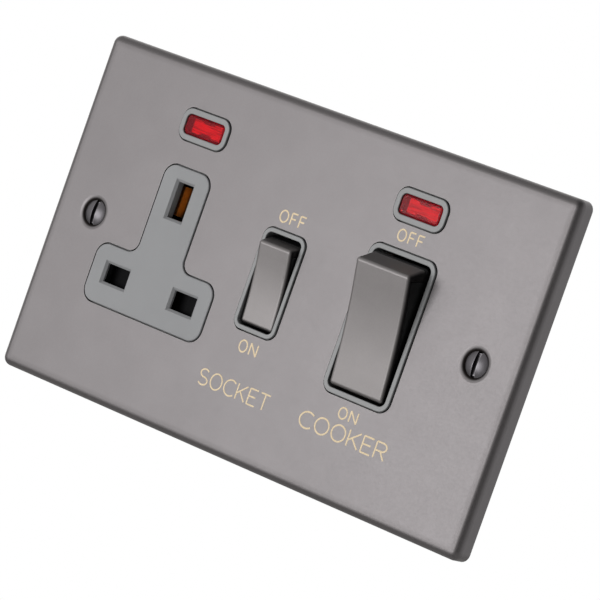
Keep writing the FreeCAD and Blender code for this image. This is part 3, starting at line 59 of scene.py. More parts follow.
# Camera, worked out from the screw and pin pitches seen in the photograph.
CAMERA_AIM = Vector((7.87, -4.8, -1.23)) * MM
CAMERA_DISTANCE = 904.5 * MM
CAMERA_AZIMUTH = math.radians(37.46)
CAMERA_ELEVATION = math.radians(3.08)
CAMERA_ROLL = math.radians(19.46)
CAMERA_LENS = 234.6
CAMERA_CLIP = (0.01, 20.0)
SENSOR_WIDTH = 36.0

# Places, in metres.
FRONT_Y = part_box("front_plate")[0].y
FLOOR_Z = -0.30
FLOOR_WIDTH = 1.6

# The fixing screws, and their middles in millimetres.
FIXING_SCREWS = ("fixing_screw_left", "fixing_screw_right")
SCREW_AXES = [tuple(sum(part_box(name), Vector()) / 2 / MM) for name in FIXING_SCREWS]

# The painted shade along the plate's rim, in millimetres: where it starts and where it is full, in from
# the edge, and how deep behind the face it fades out.
RIM_REACH = 3.0
RIM_FULL = 1.2
RIM_FADE = (0.8, 1.8)
RIM_ON_SHOULDER = 0.4


# Colours


def rgb(red, green, blue):
    """A colour from 0..255 display values, as the linear values that nodes take."""

    def linear(value):
        value /= 255.0
        return value / 12.92 if value <= 0.04045 else ((value + 0.055) / 1.055) ** 2.4

    return (linear(red), linear(green), linear(blue), 1.0)


def shade(colour, factor):
    """A colour made lighter or darker."""
    return [min(1.0, channel * factor) for channel in colour[:3]] + [1.0]


# Painted shade for narrow gaps and inner corners.
CREVICE_SHADE = rgb(16, 13, 12)
# Painted shade, round the fixing screws and along the plate's rim.
PAINTED_SHADE = rgb(24, 19, 16)
# Painted shade for faces that look left and right.
SIDE_SHADE = rgb(14, 13, 13)
WHITE = (1.0, 1.0, 1.0, 1.0)
SOFT_WHITE = (1.0, 0.99, 0.98, 1.0)


# Node graphs. The mix node's colour sockets are told apart by number, because they share names.

COLOUR_A = 6
COLOUR_B = 7
COLOUR_RESULT = 2


class Graph:
    """A node tree with short calls for the nodes that the materials share."""

    def __init__(self, tree):
        self.tree = tree
        self.tree.nodes.clear()

    def node(self, kind, inputs=None, **settings):
        """A new node with its settings, and with its inputs fed by name or number."""
        made = self.tree.nodes.new(kind)
        for name, value in settings.items():
            setattr(made, name, value)
        for name, value in (inputs or {}).items():
            self.feed(made.inputs[name], value)
        return made

    def feed(self, socket, value):
        """Links a socket to another node's output, or sets its own value."""
        if isinstance(value, bpy.types.NodeSocket):
            self.tree.links.new(value, socket)
        else:
            socket.default_value = value

    def place(self, stretch=(1.0, 1.0, 1.0)):
        """Object coordinates in millimetres, stretched along the axes."""
        coords = self.node("ShaderNodeTexCoord").outputs["Object"]
        scale = Vector(stretch) / MM
        return self.node("ShaderNodeMapping", {"Vector": coords, "Scale": scale}).outputs[0]

    def noise(self, scale, detail=2.0, roughness=0.5, stretch=(1.0, 1.0, 1.0)):
        """Noise with about `scale` features to the millimetre, centred on 0.5."""
        inputs = {
            "Vector": self.place(stretch),
            "Scale": scale,
            "Detail": detail,
            "Roughness": roughness,
        }
        return self.node("ShaderNodeTexNoise", inputs).outputs["Fac"]

    def math(self, operation, first, second=0.0):
        made = self.node("ShaderNodeMath", operation=operation)
        self.feed(made.inputs[0], first)
        self.feed(made.inputs[1], second)
        return made.outputs[0]

    def dot(self, first, second):
        made = self.node("ShaderNodeVectorMath", {0: first, 1: second}, operation="DOT_PRODUCT")
        return made.outputs["Value"]

    def spread(self, value, low, high, start=0.3, end=0.7, ramp="LINEAR"):
        """Maps a value from start..end to low..high."""
        inputs = {
            "Value": value,
            "From Min": start,
            "From Max": end,
            "To Min": low,
            "To Max": high,
        }
        return self.node("ShaderNodeMapRange", inputs, interpolation_type=ramp).outputs[0]

    def blend(self, factor, first, second):
        """A mix of two colours."""
        inputs = {"Factor": factor, COLOUR_A: first, COLOUR_B: second}
        return self.node("ShaderNodeMix", inputs, data_type="RGBA").outputs[COLOUR_RESULT]

    def bump(self, height, depth_mm, strength):
        inputs = {"Height": height, "Distance": depth_mm * MM, "Strength": strength}
        return self.node("ShaderNodeBump", inputs).outputs[0]

    def outer_edges(self, width_mm):
        """About 1 on sharp outer edges and 0 elsewhere."""
        rounded = self.node("ShaderNodeBevel", {"Radius": width_mm * MM}, samples=4).outputs[0]
        plain = self.node("ShaderNodeNewGeometry").outputs["Normal"]
        return self.spread(self.dot(rounded, plain), 1.0, 0.0, start=0.8, end=0.995)

    def occlusion(self, distance_mm):
        """1 in the open and lower in corners."""
        inputs = {"Distance": distance_mm * MM}
        return self.node("ShaderNodeAmbientOcclusion", inputs, samples=4).outputs["AO"]

    def away_from(self, centre):
        """The distance in millimetres from an axis that runs front to back."""
        offset = self.node("ShaderNodeVectorMath", {0: self.place(), 1: centre}, operation="SUBTRACT")
        sideways = {0: offset.outputs[0], 1: (1.0, 0.0, 1.0)}
        flat = self.node("ShaderNodeVectorMath", sideways, operation="MULTIPLY")
        length = self.node("ShaderNodeVectorMath", {0: flat.outputs[0]}, operation="LENGTH")
        return length.outputs["Value"]

    def plate_rim(self):
        """Where the plate's rim gets painted shade: 1 just inside its shoulder, less on it, and 0
        further in and on the walls.
        """
        low, high = (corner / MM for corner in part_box("front_plate"))
        along = self.node("ShaderNodeSeparateXYZ", {0: self.place()}).outputs
        across = self.math("SUBTRACT", self.math("ABSOLUTE", along[0]), high.x)
        upward = self.math("SUBTRACT", self.math("ABSOLUTE", along[2]), high.z)
        inward = self.math("MAXIMUM", across, upward)
        near = self.spread(inward, 0.0, 1.0, -RIM_REACH, -RIM_FULL)
        shoulder = self.spread(inward, 1.0, RIM_ON_SHOULDER, -RIM_FULL, -RIM_FULL / 2)
        front = self.spread(along[1], 1.0, 0.0, low.y + RIM_FADE[0], low.y + RIM_FADE[1])
        return self.math("MULTIPLY", self.math("MULTIPLY", near, shoulder), front)

    def paint_crevice_shade(self, tone, distance_mm, amount):
        """Painted shade in narrow gaps and inner corners, darker where ambient occlusion is low."""
        shut_in = self.spread(self.occlusion(distance_mm), amount, 0.0, start=0.15, end=0.6)
        return self.blend(shut_in, tone, CREVICE_SHADE)

    def finish(self, inputs):
        """Ends the graph in one principled shader."""
        shader = self.node("ShaderNodeBsdfPrincipled", inputs)
        self.node("ShaderNodeOutputMaterial", {"Surface": shader.outputs[0]})


def material(name):
    """A new node material and its graph."""
    made = bpy.data.materials.new(name)
    made.use_nodes = True
    return made, Graph(made.node_tree)


# Materials


def satin_metal(name, colour, roughness, grain_depth=0.0016, rub_and_glint=0.2, ring=None, shaded_sides=0.0):
    """Blasted and lacquered metal: a fine sparkling grain, faint clouds, edges lightened by rubbing and
    a painted highlight, and painted shade in gaps.

    ring is the radius in millimetres of the painted shade round the fixing screws, in the gap about each
    head, on the plate only.
    shaded_sides is how far the faces that look left and right are darkened with painted shade.
    """
    made, graph = material(name)
    clouds = graph.noise(scale=0.09, detail=5.0, roughness=0.6)
    grain = graph.noise(scale=2.4, detail=4.0, roughness=0.75)
    sparkle = graph.noise(scale=6.0, detail=2.0, roughness=0.7)
    tone = graph.blend(graph.spread(clouds, 0.0, 1.0), shade(colour, 1.02), shade(colour, 0.95))
    tone = graph.blend(graph.spread(grain, 0.16, 0.0, start=0.35, end=0.65), tone, shade(colour, 0.4))
    # Lighter edges: partly rubbed wear, partly a painted highlight.
    worn = graph.math("MULTIPLY", graph.outer_edges(width_mm=0.25), rub_and_glint)
    tone = graph.blend(worn, tone, shade(colour, 1.4 + rub_and_glint))
    # Painted shade in gaps and inner corners.
    tone = graph.paint_crevice_shade(tone, distance_mm=0.8, amount=0.9)
    if ring:
        # Painted shade in the gap round each screw head.
        for centre in SCREW_AXES:
            screw_shade = graph.spread(graph.away_from(centre), 0.92, 0.0, start=ring, end=ring + 0.35)
            tone = graph.blend(screw_shade, tone, PAINTED_SHADE)
        # Painted shade along the plate's rim, where its shoulder turns away from the light.
        tone = graph.blend(graph.math("MULTIPLY", graph.plate_rim(), 0.30), tone, PAINTED_SHADE)
    if shaded_sides:
        # Painted shade on the faces that look left and right.
        normal = graph.node("ShaderNodeNewGeometry").outputs["Normal"]
        sideways = graph.math("ABSOLUTE", graph.node("ShaderNodeSeparateXYZ", {0: normal}).outputs[0])
        tone = graph.blend(graph.spread(sideways, 0.0, shaded_sides, start=0.55, end=0.9), tone, SIDE_SHADE)
    graph.finish(
        {
            "Base Color": tone,
            "Metallic": 1.0,
            "Roughness": graph.spread(grain, roughness - 0.05, roughness + 0.05),
            "Normal": graph.bump(sparkle, grain_depth, 0.7),
        }
    )
    return made


def moulding(name, colour, roughness=0.42, texture=5.0, depth=0.004, sheen=0.35, reach=0.5):
    """Moulded plastic: a fine spark-eroded texture, faint flow clouds and rubbed edges.

    texture is in features to the millimetre, depth is how deep in millimetres it is, and reach is
    how far in millimetres the painted shade in corners reaches.
    """
    made, graph = material(name)
    clouds = graph.noise(scale=0.08)
    spark = graph.noise(scale=texture, detail=4.0, roughness=0.65)
    tone = graph.blend(graph.spread(clouds, 0.0, 1.0), colour, shade(colour, 0.94))
    worn = graph.math("MULTIPLY", graph.outer_edges(width_mm=0.2), 0.2)
    tone = graph.blend(worn, tone, shade(colour, 1.5))
    # Painted shade in gaps and inner corners.
    tone = graph.paint_crevice_shade(tone, reach, amount=0.85)
    graph.finish(
        {
            "Base Color": tone,
            "Roughness": graph.spread(spark, roughness - 0.06, roughness + 0.08),
            "Normal": graph.bump(spark, depth, 0.6),
            "Specular IOR Level": sheen,
        }
    )
    return made


def rolled_brass(name, colour, roughness):
    """Rolled or machined brass: streaks along its length and darker tarnish in the corners."""
    made, graph = material(name)
    streaks = graph.noise(scale=3.0, detail=3.0, roughness=0.6, stretch=(0.15, 1.0, 1.0))
    clouds = graph.noise(scale=0.25, detail=3.0)
    tarnish = graph.math("SUBTRACT", 1.0, graph.occlusion(distance_mm=0.6))
    tone = graph.blend(graph.spread(clouds, 0.0, 0.6), colour, rgb(150, 98, 45))
    tone = graph.blend(graph.math("MULTIPLY", tarnish, 0.45), tone, rgb(70, 45, 25))
    graph.finish(
        {
            "Base Color": tone,
            "Metallic": 1.0,
            "Roughness": graph.spread(streaks, roughness - 0.06, roughness + 0.12),
            "Normal": graph.bump(streaks, 0.003, 0.5),
        }
    )
    return made


def plated_steel(name, colour, roughness):
    """Zinc-plated steel with a faint crystalline mottle."""
    made, graph = material(name)
    mottle = graph.noise(scale=1.4, detail=3.0, roughness=0.7)
    fine = graph.noise(scale=9.0)
    tone = graph.blend(graph.spread(mottle, 0.0, 0.7), colour, rgb(160, 165, 160))
    graph.finish(
        {
            "Base Color": tone,
            "Metallic": 1.0,
            "Roughness": graph.spread(mottle, roughness - 0.05, roughness + 0.10),
            "Normal": graph.bump(fine, 0.002, 0.4),
        }
    )
    return made


def clear_red(name):
    """Clear red acrylic with faint flow lines along its length."""
    made, graph = material(name)
    flow = graph.noise(scale=0.8, stretch=(0.3, 1.0, 1.0))
    graph.finish(
        {
            "Base Color": rgb(242, 72, 86),
            "Roughness": graph.spread(flow, 0.10, 0.18),
            "Transmission Weight": 0.85,
            "IOR": 1.15,
            "Normal": graph.bump(flow, 0.02, 0.3),
        }
    )
    return made


def painted_glow_diffuser(name):
    """The frosted inside of the neon lens, with a painted glow that stands in for light from the lamp
    behind it.
    """
    made, graph = material(name)
    frost = graph.noise(scale=2.5, detail=3.0, roughness=0.6)
    ribs = graph.noise(scale=1.9, stretch=(0.08, 1.0, 1.8))
    tone = graph.blend(graph.spread(frost, 0.0, 1.0), rgb(236, 62, 78), rgb(212, 48, 64))
    tone = graph.blend(graph.spread(ribs, 0.0, 0.85, start=0.47, end=0.57), tone, rgb(120, 30, 42))
    graph.finish(
        {
            "Base Color": tone,
            "Roughness": 0.5,
            # Painted glow: the diffuser gives off light of its own.
            "Emission Color": tone,
            "Emission Strength": 0.28,
            "Normal": graph.bump(frost, 0.01, 0.5),
        }
    )
    return made


def paint_fill(name):
    """The pale paint of the lettering, worn thin in places."""
    made, graph = material(name)
    worn = graph.noise(scale=4.0, detail=3.0, roughness=0.6)
    tone = graph.blend(graph.spread(worn, 0.0, 1.0), rgb(236, 216, 180), rgb(208, 187, 150))
    graph.finish({"Base Color": tone, "Roughness": 0.55, "Normal": graph.bump(worn, 0.006, 0.5)})
    return made


def glass(name, colour):
    """Thin lamp glass with a slight ripple."""
    made, graph = material(name)
    ripple = graph.noise(scale=0.6)
    graph.finish(
        {
            "Base Color": colour,
            "Roughness": graph.spread(ripple, 0.02, 0.08),
            "Transmission Weight": 0.85,
            "IOR": 1.47,
            "Normal": graph.bump(ripple, 0.02, 0.3),
        }
    )
    return made


# One finish for each material slot of the frame.
FINISHES = {
    # The plate gets painted shade round the screws and along its rim.
    "satin_plate": satin_metal("satin_plate", rgb(111, 108, 109), 0.44, ring=3.4),
    # The caps' side faces get painted shade.
    "rocker_cap_metal": satin_metal(
        "rocker_cap_metal", rgb(120, 117, 117), 0.46, rub_and_glint=0.05, shaded_sides=0.85
    ),
    # The screws' lighter edges are mostly a painted highlight along the slot and the head's rim.
    "screw_steel": satin_metal("screw_steel", rgb(92, 90, 93), 0.36, grain_depth=0.0008, rub_and_glint=1.0),
    "insert_moulding": moulding("insert_moulding", rgb(137, 138, 140)),
    # The bezels get painted shade reaching 2.4 mm from their corners, darkening the walls of their
    # recesses.
    "frame_moulding": moulding("frame_moulding", rgb(139, 140, 141), 0.38, texture=6.0, reach=2.4),
    "rocker_moulding": moulding("rocker_moulding", rgb(14, 14, 15), 0.35, texture=6.0, depth=0.003),
    "shutter_moulding": moulding("shutter_moulding", rgb(8, 8, 10), 0.60, sheen=0.08),
    "housing_moulding": moulding("housing_moulding", rgb(62, 63, 66), 0.46, texture=2.2, depth=0.020),
    "plunger_moulding": moulding(
        "plunger_moulding", rgb(220, 217, 206), 0.35, texture=8.0, depth=0.002
    ),
    "contact_brass": rolled_brass("contact_brass", rgb(255, 190, 104), 0.42),
    "terminal_brass": rolled_brass("terminal_brass", rgb(216, 178, 112), 0.26),
    "plated_steel": plated_steel("plated_steel", rgb(196, 197, 192), 0.24),
    "spring_steel": plated_steel("spring_steel", rgb(188, 188, 188), 0.20),
    "neon_lens": clear_red("neon_lens"),
    "neon_diffuser": painted_glow_diffuser("neon_glow"),
    "lamp_glass": glass("lamp_glass", rgb(250, 226, 208)),
    "resistor_body": moulding("resistor_body", rgb(196, 172, 128), 0.45, texture=4.0, depth=0.006),
}
LETTERING_PAINT = paint_fill("lettering_paint")


def dress_frame():
    """Gives every piece of the frame the finish that its slot names."""
    slots = {entry["node"]: entry["material_slot"] for entry in frame["record"]["subparts"]}
    for name, piece in frame["nodes"].items():
        piece.data.materials.clear()
        piece.data.materials.append(FINISHES[slots[name]])


# Pieces that this script adds. Edges sharper than SHARP_EDGE stay sharp in smooth shading.

SHARP_EDGE = math.radians(28.0)


def add_object(name, data):
    """A new object in the scene."""
    made = bpy.data.objects.new(name, data)
    bpy.context.scene.collection.objects.link(made)
    return made


def bake(source):
    """The finished mesh of an object with modifiers, or of a thick curve, which is then removed."""
    depsgraph = bpy.context.evaluated_depsgraph_get()
    mesh = bpy.data.meshes.new_from_object(source.evaluated_get(depsgraph))
    bpy.data.objects.remove(source)
    return mesh


def mesh_piece(name, points, faces, body, slot):
    """A smooth piece from points in millimetres that rides with a body of the frame."""
    mesh = bpy.data.meshes.new(name)
    mesh.from_pydata([Vector(point) * MM for point in points], [], faces)
    turned = bmesh.new()
    turned.from_mesh(mesh)
    bmesh.ops.recalc_face_normals(turned, faces=turned.faces)
    turned.to_mesh(mesh)
    turned.free()
    mesh.materials.append(FINISHES[slot])
    mesh.shade_smooth()
    mesh.set_sharp_from_angle(angle=SHARP_EDGE)
    piece = add_object(name, mesh)
    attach(piece, body)
    return piece


# Fixing screws, in millimetres: a slotted raised head with a cone behind its rim, and a cut thread.

HEAD_RADIUS = 3.05
HEAD_DOME = 0.70
HEAD_RIM = 0.12
HEAD_CONE = 1.35
HEAD_NECK = 0.1
HEAD_EDGE = 0.10
HEAD_EDGE_ANGLE = math.radians(40)
DOME_STEPS = 14
SCREW_SLOT_WIDTH = 1.15
SCREW_SLOT_DEPTH = 1.1
THREAD_CREST = 1.70
THREAD_ROOT = 1.40
THREAD_PITCH = 0.6
THREAD_RUN_OUT = THREAD_PITCH * 1.2
THREAD_STEPS = 10
SHANK_OVERLAP = 0.3
AROUND = 72

# The thread's form: how steep its flanks are, and how much of them the flat crest cuts off.
THREAD_FLANK = 2.3
THREAD_FLAT = 1.3


def ring_point(reach, depth, i):
    """One of the points on a circle about the screw's axis."""
    angle = 2 * math.pi * i / AROUND
    return (reach * math.cos(angle), depth, reach * math.sin(angle))


def ring_faces(rings, first=0):
    """Quads between rings of points, wound so that they face outwards along growing y."""
    faces = []
    for ring in range(rings - 1):
        for i in range(AROUND):
            j = (i + 1) % AROUND
            low = first + ring * AROUND
            high = low + AROUND
            faces.append((low + i, high + i, high + j, low + j))
    return faces


def head_profile():
    """The head's outline from its dome to its neck, as radius and depth."""
    radius = (HEAD_RADIUS**2 / HEAD_DOME + HEAD_DOME) / 2
    half_angle = math.asin(HEAD_RADIUS / radius)
    profile = []
    for step in range(1, DOME_STEPS + 1):
        angle = half_angle * step / DOME_STEPS
        profile.append((radius * math.sin(angle), radius - HEAD_DOME - radius * math.cos(angle)))
    profile.append((HEAD_RADIUS, HEAD_RIM))
    profile.append((THREAD_ROOT + HEAD_NECK, HEAD_RIM + HEAD_CONE))
    return profile


def screw_head():
    """The slotted head about its own origin at the rim, as a mesh with softened edges."""
    profile = head_profile()
    points = [(0.0, -HEAD_DOME, 0.0)]
    for reach, depth in profile:
        points += [ring_point(reach, depth, i) for i in range(AROUND)]
    last = len(points)
    neck = last - AROUND
    points.append((0.0, profile[-1][1], 0.0))
    faces = [(0, 1 + i, 1 + (i + 1) % AROUND) for i in range(AROUND)]
    faces += ring_faces(len(profile), first=1)
    faces += [(last, neck + (i + 1) % AROUND, neck + i) for i in range(AROUND)]
    mesh = bpy.data.meshes.new("screw_head")
    mesh.from_pydata(points, [], faces)
    head = add_object("screw_head", mesh)
    bpy.ops.mesh.primitive_cube_add(size=1.0, location=(0.0, -HEAD_DOME, 0.0))
    cutter = bpy.context.object
    cutter.scale = (SCREW_SLOT_WIDTH, SCREW_SLOT_DEPTH * 2, HEAD_RADIUS * 3)
    slotted = head.modifiers.new("slot", "BOOLEAN")
    slotted.object = cutter
    slotted.operation = "DIFFERENCE"
    slotted.solver = "EXACT"
    rounded = head.modifiers.new("edges", "BEVEL")
    rounded.width = HEAD_EDGE
    rounded.segments = 3
    rounded.limit_method = "ANGLE"
    rounded.angle_limit = HEAD_EDGE_ANGLE
    finished = bake(head)
    bpy.data.objects.remove(cutter)
    return finished


def screw_shank(length):
    """Points and faces of a threaded shank that runs from the head's back to a depth."""
    start = HEAD_CONE - SHANK_OVERLAP
    rings = int((length - start) / THREAD_PITCH * THREAD_STEPS) + 1
    points = []
    for ring in range(rings):
        depth = start + ring * THREAD_PITCH / THREAD_STEPS
        fade = min(1.0, (depth - start) / THREAD_PITCH, (length - depth) / THREAD_RUN_OUT)
        for i in range(AROUND):
            phase = (depth / THREAD_PITCH - i / AROUND) % 1.0
            flank = 1.0 - min(1.0, abs(phase - 0.5) * THREAD_FLANK)
            height = (THREAD_CREST - THREAD_ROOT) * min(1.0, flank * THREAD_FLAT) * max(0.0, fade)
            points.append(ring_point(THREAD_ROOT + height, depth, i))
    faces = ring_faces(rings)
    faces.append(tuple(range(AROUND)))
    faces.append(tuple((rings - 1) * AROUND + i for i in reversed(range(AROUND))))
    return points, faces


def fit_screws():
    """Threaded screws in the place of the plain ones."""
    head = screw_head()
    for name in FIXING_SCREWS:
        low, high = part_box(name)
        centre = (low + high) / 2
        rim_y = low.y + HEAD_DOME * MM
        shank_points, shank_faces = screw_shank((high.y - rim_y) / MM)
        points = [tuple(vertex.co) for vertex in head.vertices]
        faces = [tuple(face.vertices) for face in head.polygons]
        offset = len(points)
        points += shank_points
        faces += [tuple(index + offset for index in face) for face in shank_faces]
        placed = [(x + centre.x / MM, y + rim_y / MM, z + centre.z / MM) for x, y, z in points]
        piece = mesh_piece(name + "_threaded", placed, faces, "unit", "screw_steel")
        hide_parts(name)


def fit_shutter_spring():
    """A copy of the shutter spring in the place of the frame's one, in the shape it has at rest."""
    spring = add_object("shutter_spring_coil", frame["nodes"]["shutter_spring"].data.copy())
    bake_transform(spring)
    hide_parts("shutter_spring")


# Lettering: the strokes of each capital fill a box one unit wide and one unit high, and its width
# in a word is a share of its height.

C_MOUTH = 48
C_REACH = 1 / (1 + math.cos(math.radians(C_MOUTH)))
SAME_POINT = 1e-6
PAINT_FLATNESS = 0.10


def arc(centre, radii, start, end, steps=14):
    """Points along an ellipse's arc, with angles in degrees."""
    points = []
    for step in range(steps + 1):
        angle = math.radians(start + (end - start) * step / steps)
        points.append((centre[0] + radii[0] * math.cos(angle), centre[1] + radii[1] * math.sin(angle)))
    return points


STEM = [(0, 0), (0, 1)]
MIDDLE_ARM = [(0, 0.52), (0.85, 0.52)]
LETTER_STROKES = {
    "C": [arc((C_REACH, 0.5), (C_REACH, 0.5), C_MOUTH, 360 - C_MOUTH, steps=24)],
    "E": [STEM, [(0, 1), (1, 1)], MIDDLE_ARM, [(0, 0), (1, 0)]],
    "F": [[(1, 1), (0, 1)], STEM[::-1], MIDDLE_ARM],
    "K": [STEM, [(1, 1), (0, 0.36)], [(0.32, 0.56), (1, 0)]],
    "L": [STEM[::-1], [(0, 0), (1, 0)]],
    "N": [STEM, [(0, 1), (1, 0)], [(1, 0), (1, 1)]],
    "O": [arc((0.5, 0.5), (0.5, 0.5), 0, 360, steps=28)],
    "R": [STEM, [(0, 1), *arc((0.6, 0.74), (0.4, 0.26), 90, -90), (0, 0.48)], [(0.5, 0.48), (1, 0)]],
    "S": [arc((0.5, 0.75), (0.46, 0.25), 35, 270) + arc((0.5, 0.25), (0.5, 0.25), 90, -150)[1:]],
    "T": [[(0, 1), (1, 1)], [(0.5, 1), (0.5, 0)]],
}
LETTER_WIDTHS = {
    "C": 0.76,
    "E": 0.60,
    "F": 0.60,
    "K": 0.68,
    "L": 0.56,
    "N": 0.76,
    "O": 0.82,
    "R": 0.64,
    "S": 0.66,
    "T": 0.70,
}

# The words on the front, in millimetres: piece, word, box (left, right, low, high), line width,
# and the gap between letters as a share of their height.
WORDS = [
    ("socket_off", "OFF", (-6.03, 2.04, 13.96, 17.18), 0.42, 0.16),
    ("socket_on", "ON", (-4.73, 1.18, -17.76, -14.54), 0.42, 0.16),
    ("socket_word", "SOCKET", (-12.9, 9.47, -28.5, -24.31), 0.40, 0.10),
    ("cooker_off", "OFF", (27.95, 35.83, 19.61, 22.73), 0.42, 0.16),
    ("cooker_on", "ON", (28.98, 34.9, -23.15, -20.13), 0.42, 0.16),
    ("cooker_word", "COOKER", (18.94, 45.55, -28.42, -24.14), 0.44, 0.10),
]


def word_strokes(word, box, stroke, gap=0.0):
    """The strokes of a word that fills a box given in millimetres."""
    left, right, low, high = box
    height = high - low
    widths = [LETTER_WIDTHS[letter] for letter in word]
    total = sum(widths) + gap * (len(word) - 1)
    squeeze = (right - left) / (total * height)
    inner = height - stroke
    base = low + stroke / 2
    across = left
    strokes = []
    for letter, width in zip(word, widths):
        run = width * height * squeeze - stroke
        side = across + stroke / 2
        for points in LETTER_STROKES[letter]:
            strokes.append([(side + u * run, base + v * inner) for u, v in points])
        across += (width + gap) * height * squeeze
    return strokes


def raise_strokes(name, strokes, stroke, face_y, flatness, finish):
    """Flattened beads along lines of (x, z) points in millimetres on a face of the unit."""
    curve = bpy.data.curves.new(name, "CURVE")
    curve.dimensions = "3D"
    curve.bevel_depth = stroke / 2 * MM
    curve.bevel_resolution = 3
    curve.use_fill_caps = True
    for points in strokes:
        closed = math.dist(points[0], points[-1]) < SAME_POINT
        kept = points[:-1] if closed else points
        spline = curve.splines.new("POLY")
        spline.points.add(len(kept) - 1)
        spline.use_cyclic_u = closed
        for point, (x, z) in zip(spline.points, kept):
            point.co = (x * MM, 0.0, z * MM, 1.0)
    mesh = bake(add_object(name + "_strokes", curve))
    flatten = Matrix.Scale(flatness, 4, Vector((0, 1, 0)))
    mesh.transform(Matrix.Translation((0, face_y, 0)) @ flatten)
    mesh.materials.clear()
    mesh.materials.append(finish)
    mesh.name = name
    piece = add_object(name, mesh)
    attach(piece, "unit")


def write_lettering():
    """The words for the switch positions and for what each side controls, in paint."""
    for name, word, box, stroke, gap in WORDS:
        strokes = word_strokes(word, box, stroke, gap)
        raise_strokes(name, strokes, stroke, FRONT_Y, PAINT_FLATNESS, LETTERING_PAINT)


# Rear of the housing, in millimetres: terminal letters, stiffening beads and ejector rings, raised.

TERMINAL_LETTERS = {
    "line_in_terminal": "L",
    "neutral_in_terminal": "N",
    "line_out_terminal": "L",
    "neutral_out_terminal": "N",
    "earth_terminal": "E",
}
MARK_HEIGHT = 5.0
MARK_WIDTH = 3.4
MARK_STROKE = 0.7
MARK_INBOARD = 2.4
REAR_FLATNESS = 0.8
BEAD_STROKE = 0.9
BEAD_FRAME_ACROSS = (-42.0, 11.0)
BEAD_FRAME_UP = (-11.5, 11.5)
BEAD_FRAME_RADIUS = 3.0
RIB_LEFT = 16.0
RIB_RIGHT = 45.0
RIB_LEVELS = (-10.0, -5.0, 0.0, 5.0, 10.0)
EJECTOR_STROKE = 0.35
EJECTOR_RADII = (2.2, 2.2)
EJECTOR_CENTRES = [(-38.0, -20.0), (4.0, -20.0), (-38.0, 20.0), (-8.0, 20.0)]


def rounded_outline(across, up, radius):
    """A closed rounded rectangle as (x, z) points."""
    corners = [
        (across[1] - radius, up[1] - radius, 0),
        (across[0] + radius, up[1] - radius, 90),
        (across[0] + radius, up[0] + radius, 180),
        (across[1] - radius, up[0] + radius, 270),
    ]
    points = []
    for x, z, start in corners:
        points += arc((x, z), (radius, radius), start, start + 90, steps=8)
    return points + points[:1]


def terminal_strokes():
    """A letter beside each terminal, mirrored so that it reads the right way from behind."""
    strokes = []
    for terminal, letter in TERMINAL_LETTERS.items():
        low, high = (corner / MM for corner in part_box(terminal))
        x = (low.x + high.x) / 2
        z = low.z - MARK_INBOARD - MARK_HEIGHT if low.z > 0 else high.z + MARK_INBOARD
        box = (-x - MARK_WIDTH / 2, -x + MARK_WIDTH / 2, z, z + MARK_HEIGHT)
        for points in word_strokes(letter, box, MARK_STROKE):
            strokes.append([(-across, up) for across, up in points])
    return strokes


def mark_rear():
    """Raised marks as a mould leaves them on the back."""
    face_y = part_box("rear_housing")[1].y
    slot = "housing_moulding"
    beads = [rounded_outline(BEAD_FRAME_ACROSS, BEAD_FRAME_UP, BEAD_FRAME_RADIUS)]
    beads += [[(RIB_LEFT, z), (RIB_RIGHT, z)] for z in RIB_LEVELS]
    rings = [arc(centre, EJECTOR_RADII, 0, 360, steps=32) for centre in EJECTOR_CENTRES]
    for name, strokes, stroke in (
        ("terminal_marks", terminal_strokes(), MARK_STROKE),
        ("rear_beads", beads, BEAD_STROKE),
        ("ejector_rings", rings, EJECTOR_STROKE),
    ):
        raise_strokes(name, strokes, stroke, face_y, REAR_FLATNESS, FINISHES[slot])


# Light: a broad soft source to the front left, a white backdrop behind, darker to the right.

KEY_PLACE = Vector((-0.50, -1.25, -0.26))
KEY_SIZE = 0.8
KEY_POWER = 10.4
AMBIENT = 0.10
BACKDROP_SIDE = Vector((0.61, 0.79, 0.0))
BACKDROP_STRENGTH = 0.72
BACKDROP_COSINES = (0.3, 0.8)

# Soft patches of the surroundings: direction, the cosines where each starts and is full, strength.
SOFT_PATCHES = [
    (Vector((-0.50, -0.86, 0.02)), 0.45, 0.98, 0.95),
    (Vector((0.62, 0.78, -0.05)), 0.30, 1.00, 0.26),
    (Vector((-0.60, 0.10, 0.80)), 0.30, 1.00, 0.36),
    (Vector((0.0, -0.25, -1.0)), 0.20, 1.00, 0.15),
    (Vector((-0.62, -0.62, -0.48)), 0.90, 1.00, 0.35),
    (Vector((-0.55, 0.82, 0.15)), 0.35, 1.00, 1.00),
    (Vector((1.0, -0.15, 0.10)), 0.50, 1.00, 0.22),
    (Vector((-1.0, 0.25, 0.15)), 0.60, 1.00, 0.50),
]


def light_world():
    """The surroundings: white to the camera, and soft light and shade in reflections."""
    world = bpy.data.worlds.new("surroundings")
    bpy.context.scene.world = world
    world.use_nodes = True
    graph = Graph(world.node_tree)
    direction = graph.node("ShaderNodeTexCoord").outputs["Generated"]
    total = AMBIENT
    for towards, start, full, strength in SOFT_PATCHES:
        facing = graph.dot(direction, towards.normalized())
        total = graph.math("ADD", graph.spread(facing, 0.0, strength, start, full, "SMOOTHSTEP"), total)
    soft = graph.node("ShaderNodeBackground", {"Color": SOFT_WHITE, "Strength": total}).outputs[0]
    white = graph.node("ShaderNodeBackground", {"Color": WHITE, "Strength": 1.0}).outputs[0]
    rays = graph.node("ShaderNodeLightPath").outputs
    behind = graph.dot(direction, BACKDROP_SIDE.normalized())
    backdrop = graph.spread(behind, 0.0, BACKDROP_STRENGTH, *BACKDROP_COSINES)
    reflected = graph.math("ADD", rays["Is Glossy Ray"], rays["Is Transmission Ray"])
    reflected = graph.math("MULTIPLY", reflected, backdrop)
    seen = graph.math("MAXIMUM", rays["Is Camera Ray"], reflected)
    mix = graph.node("ShaderNodeMixShader", {0: seen, 1: soft, 2: white})
    graph.node("ShaderNodeOutputWorld", {"Surface": mix.outputs[0]})


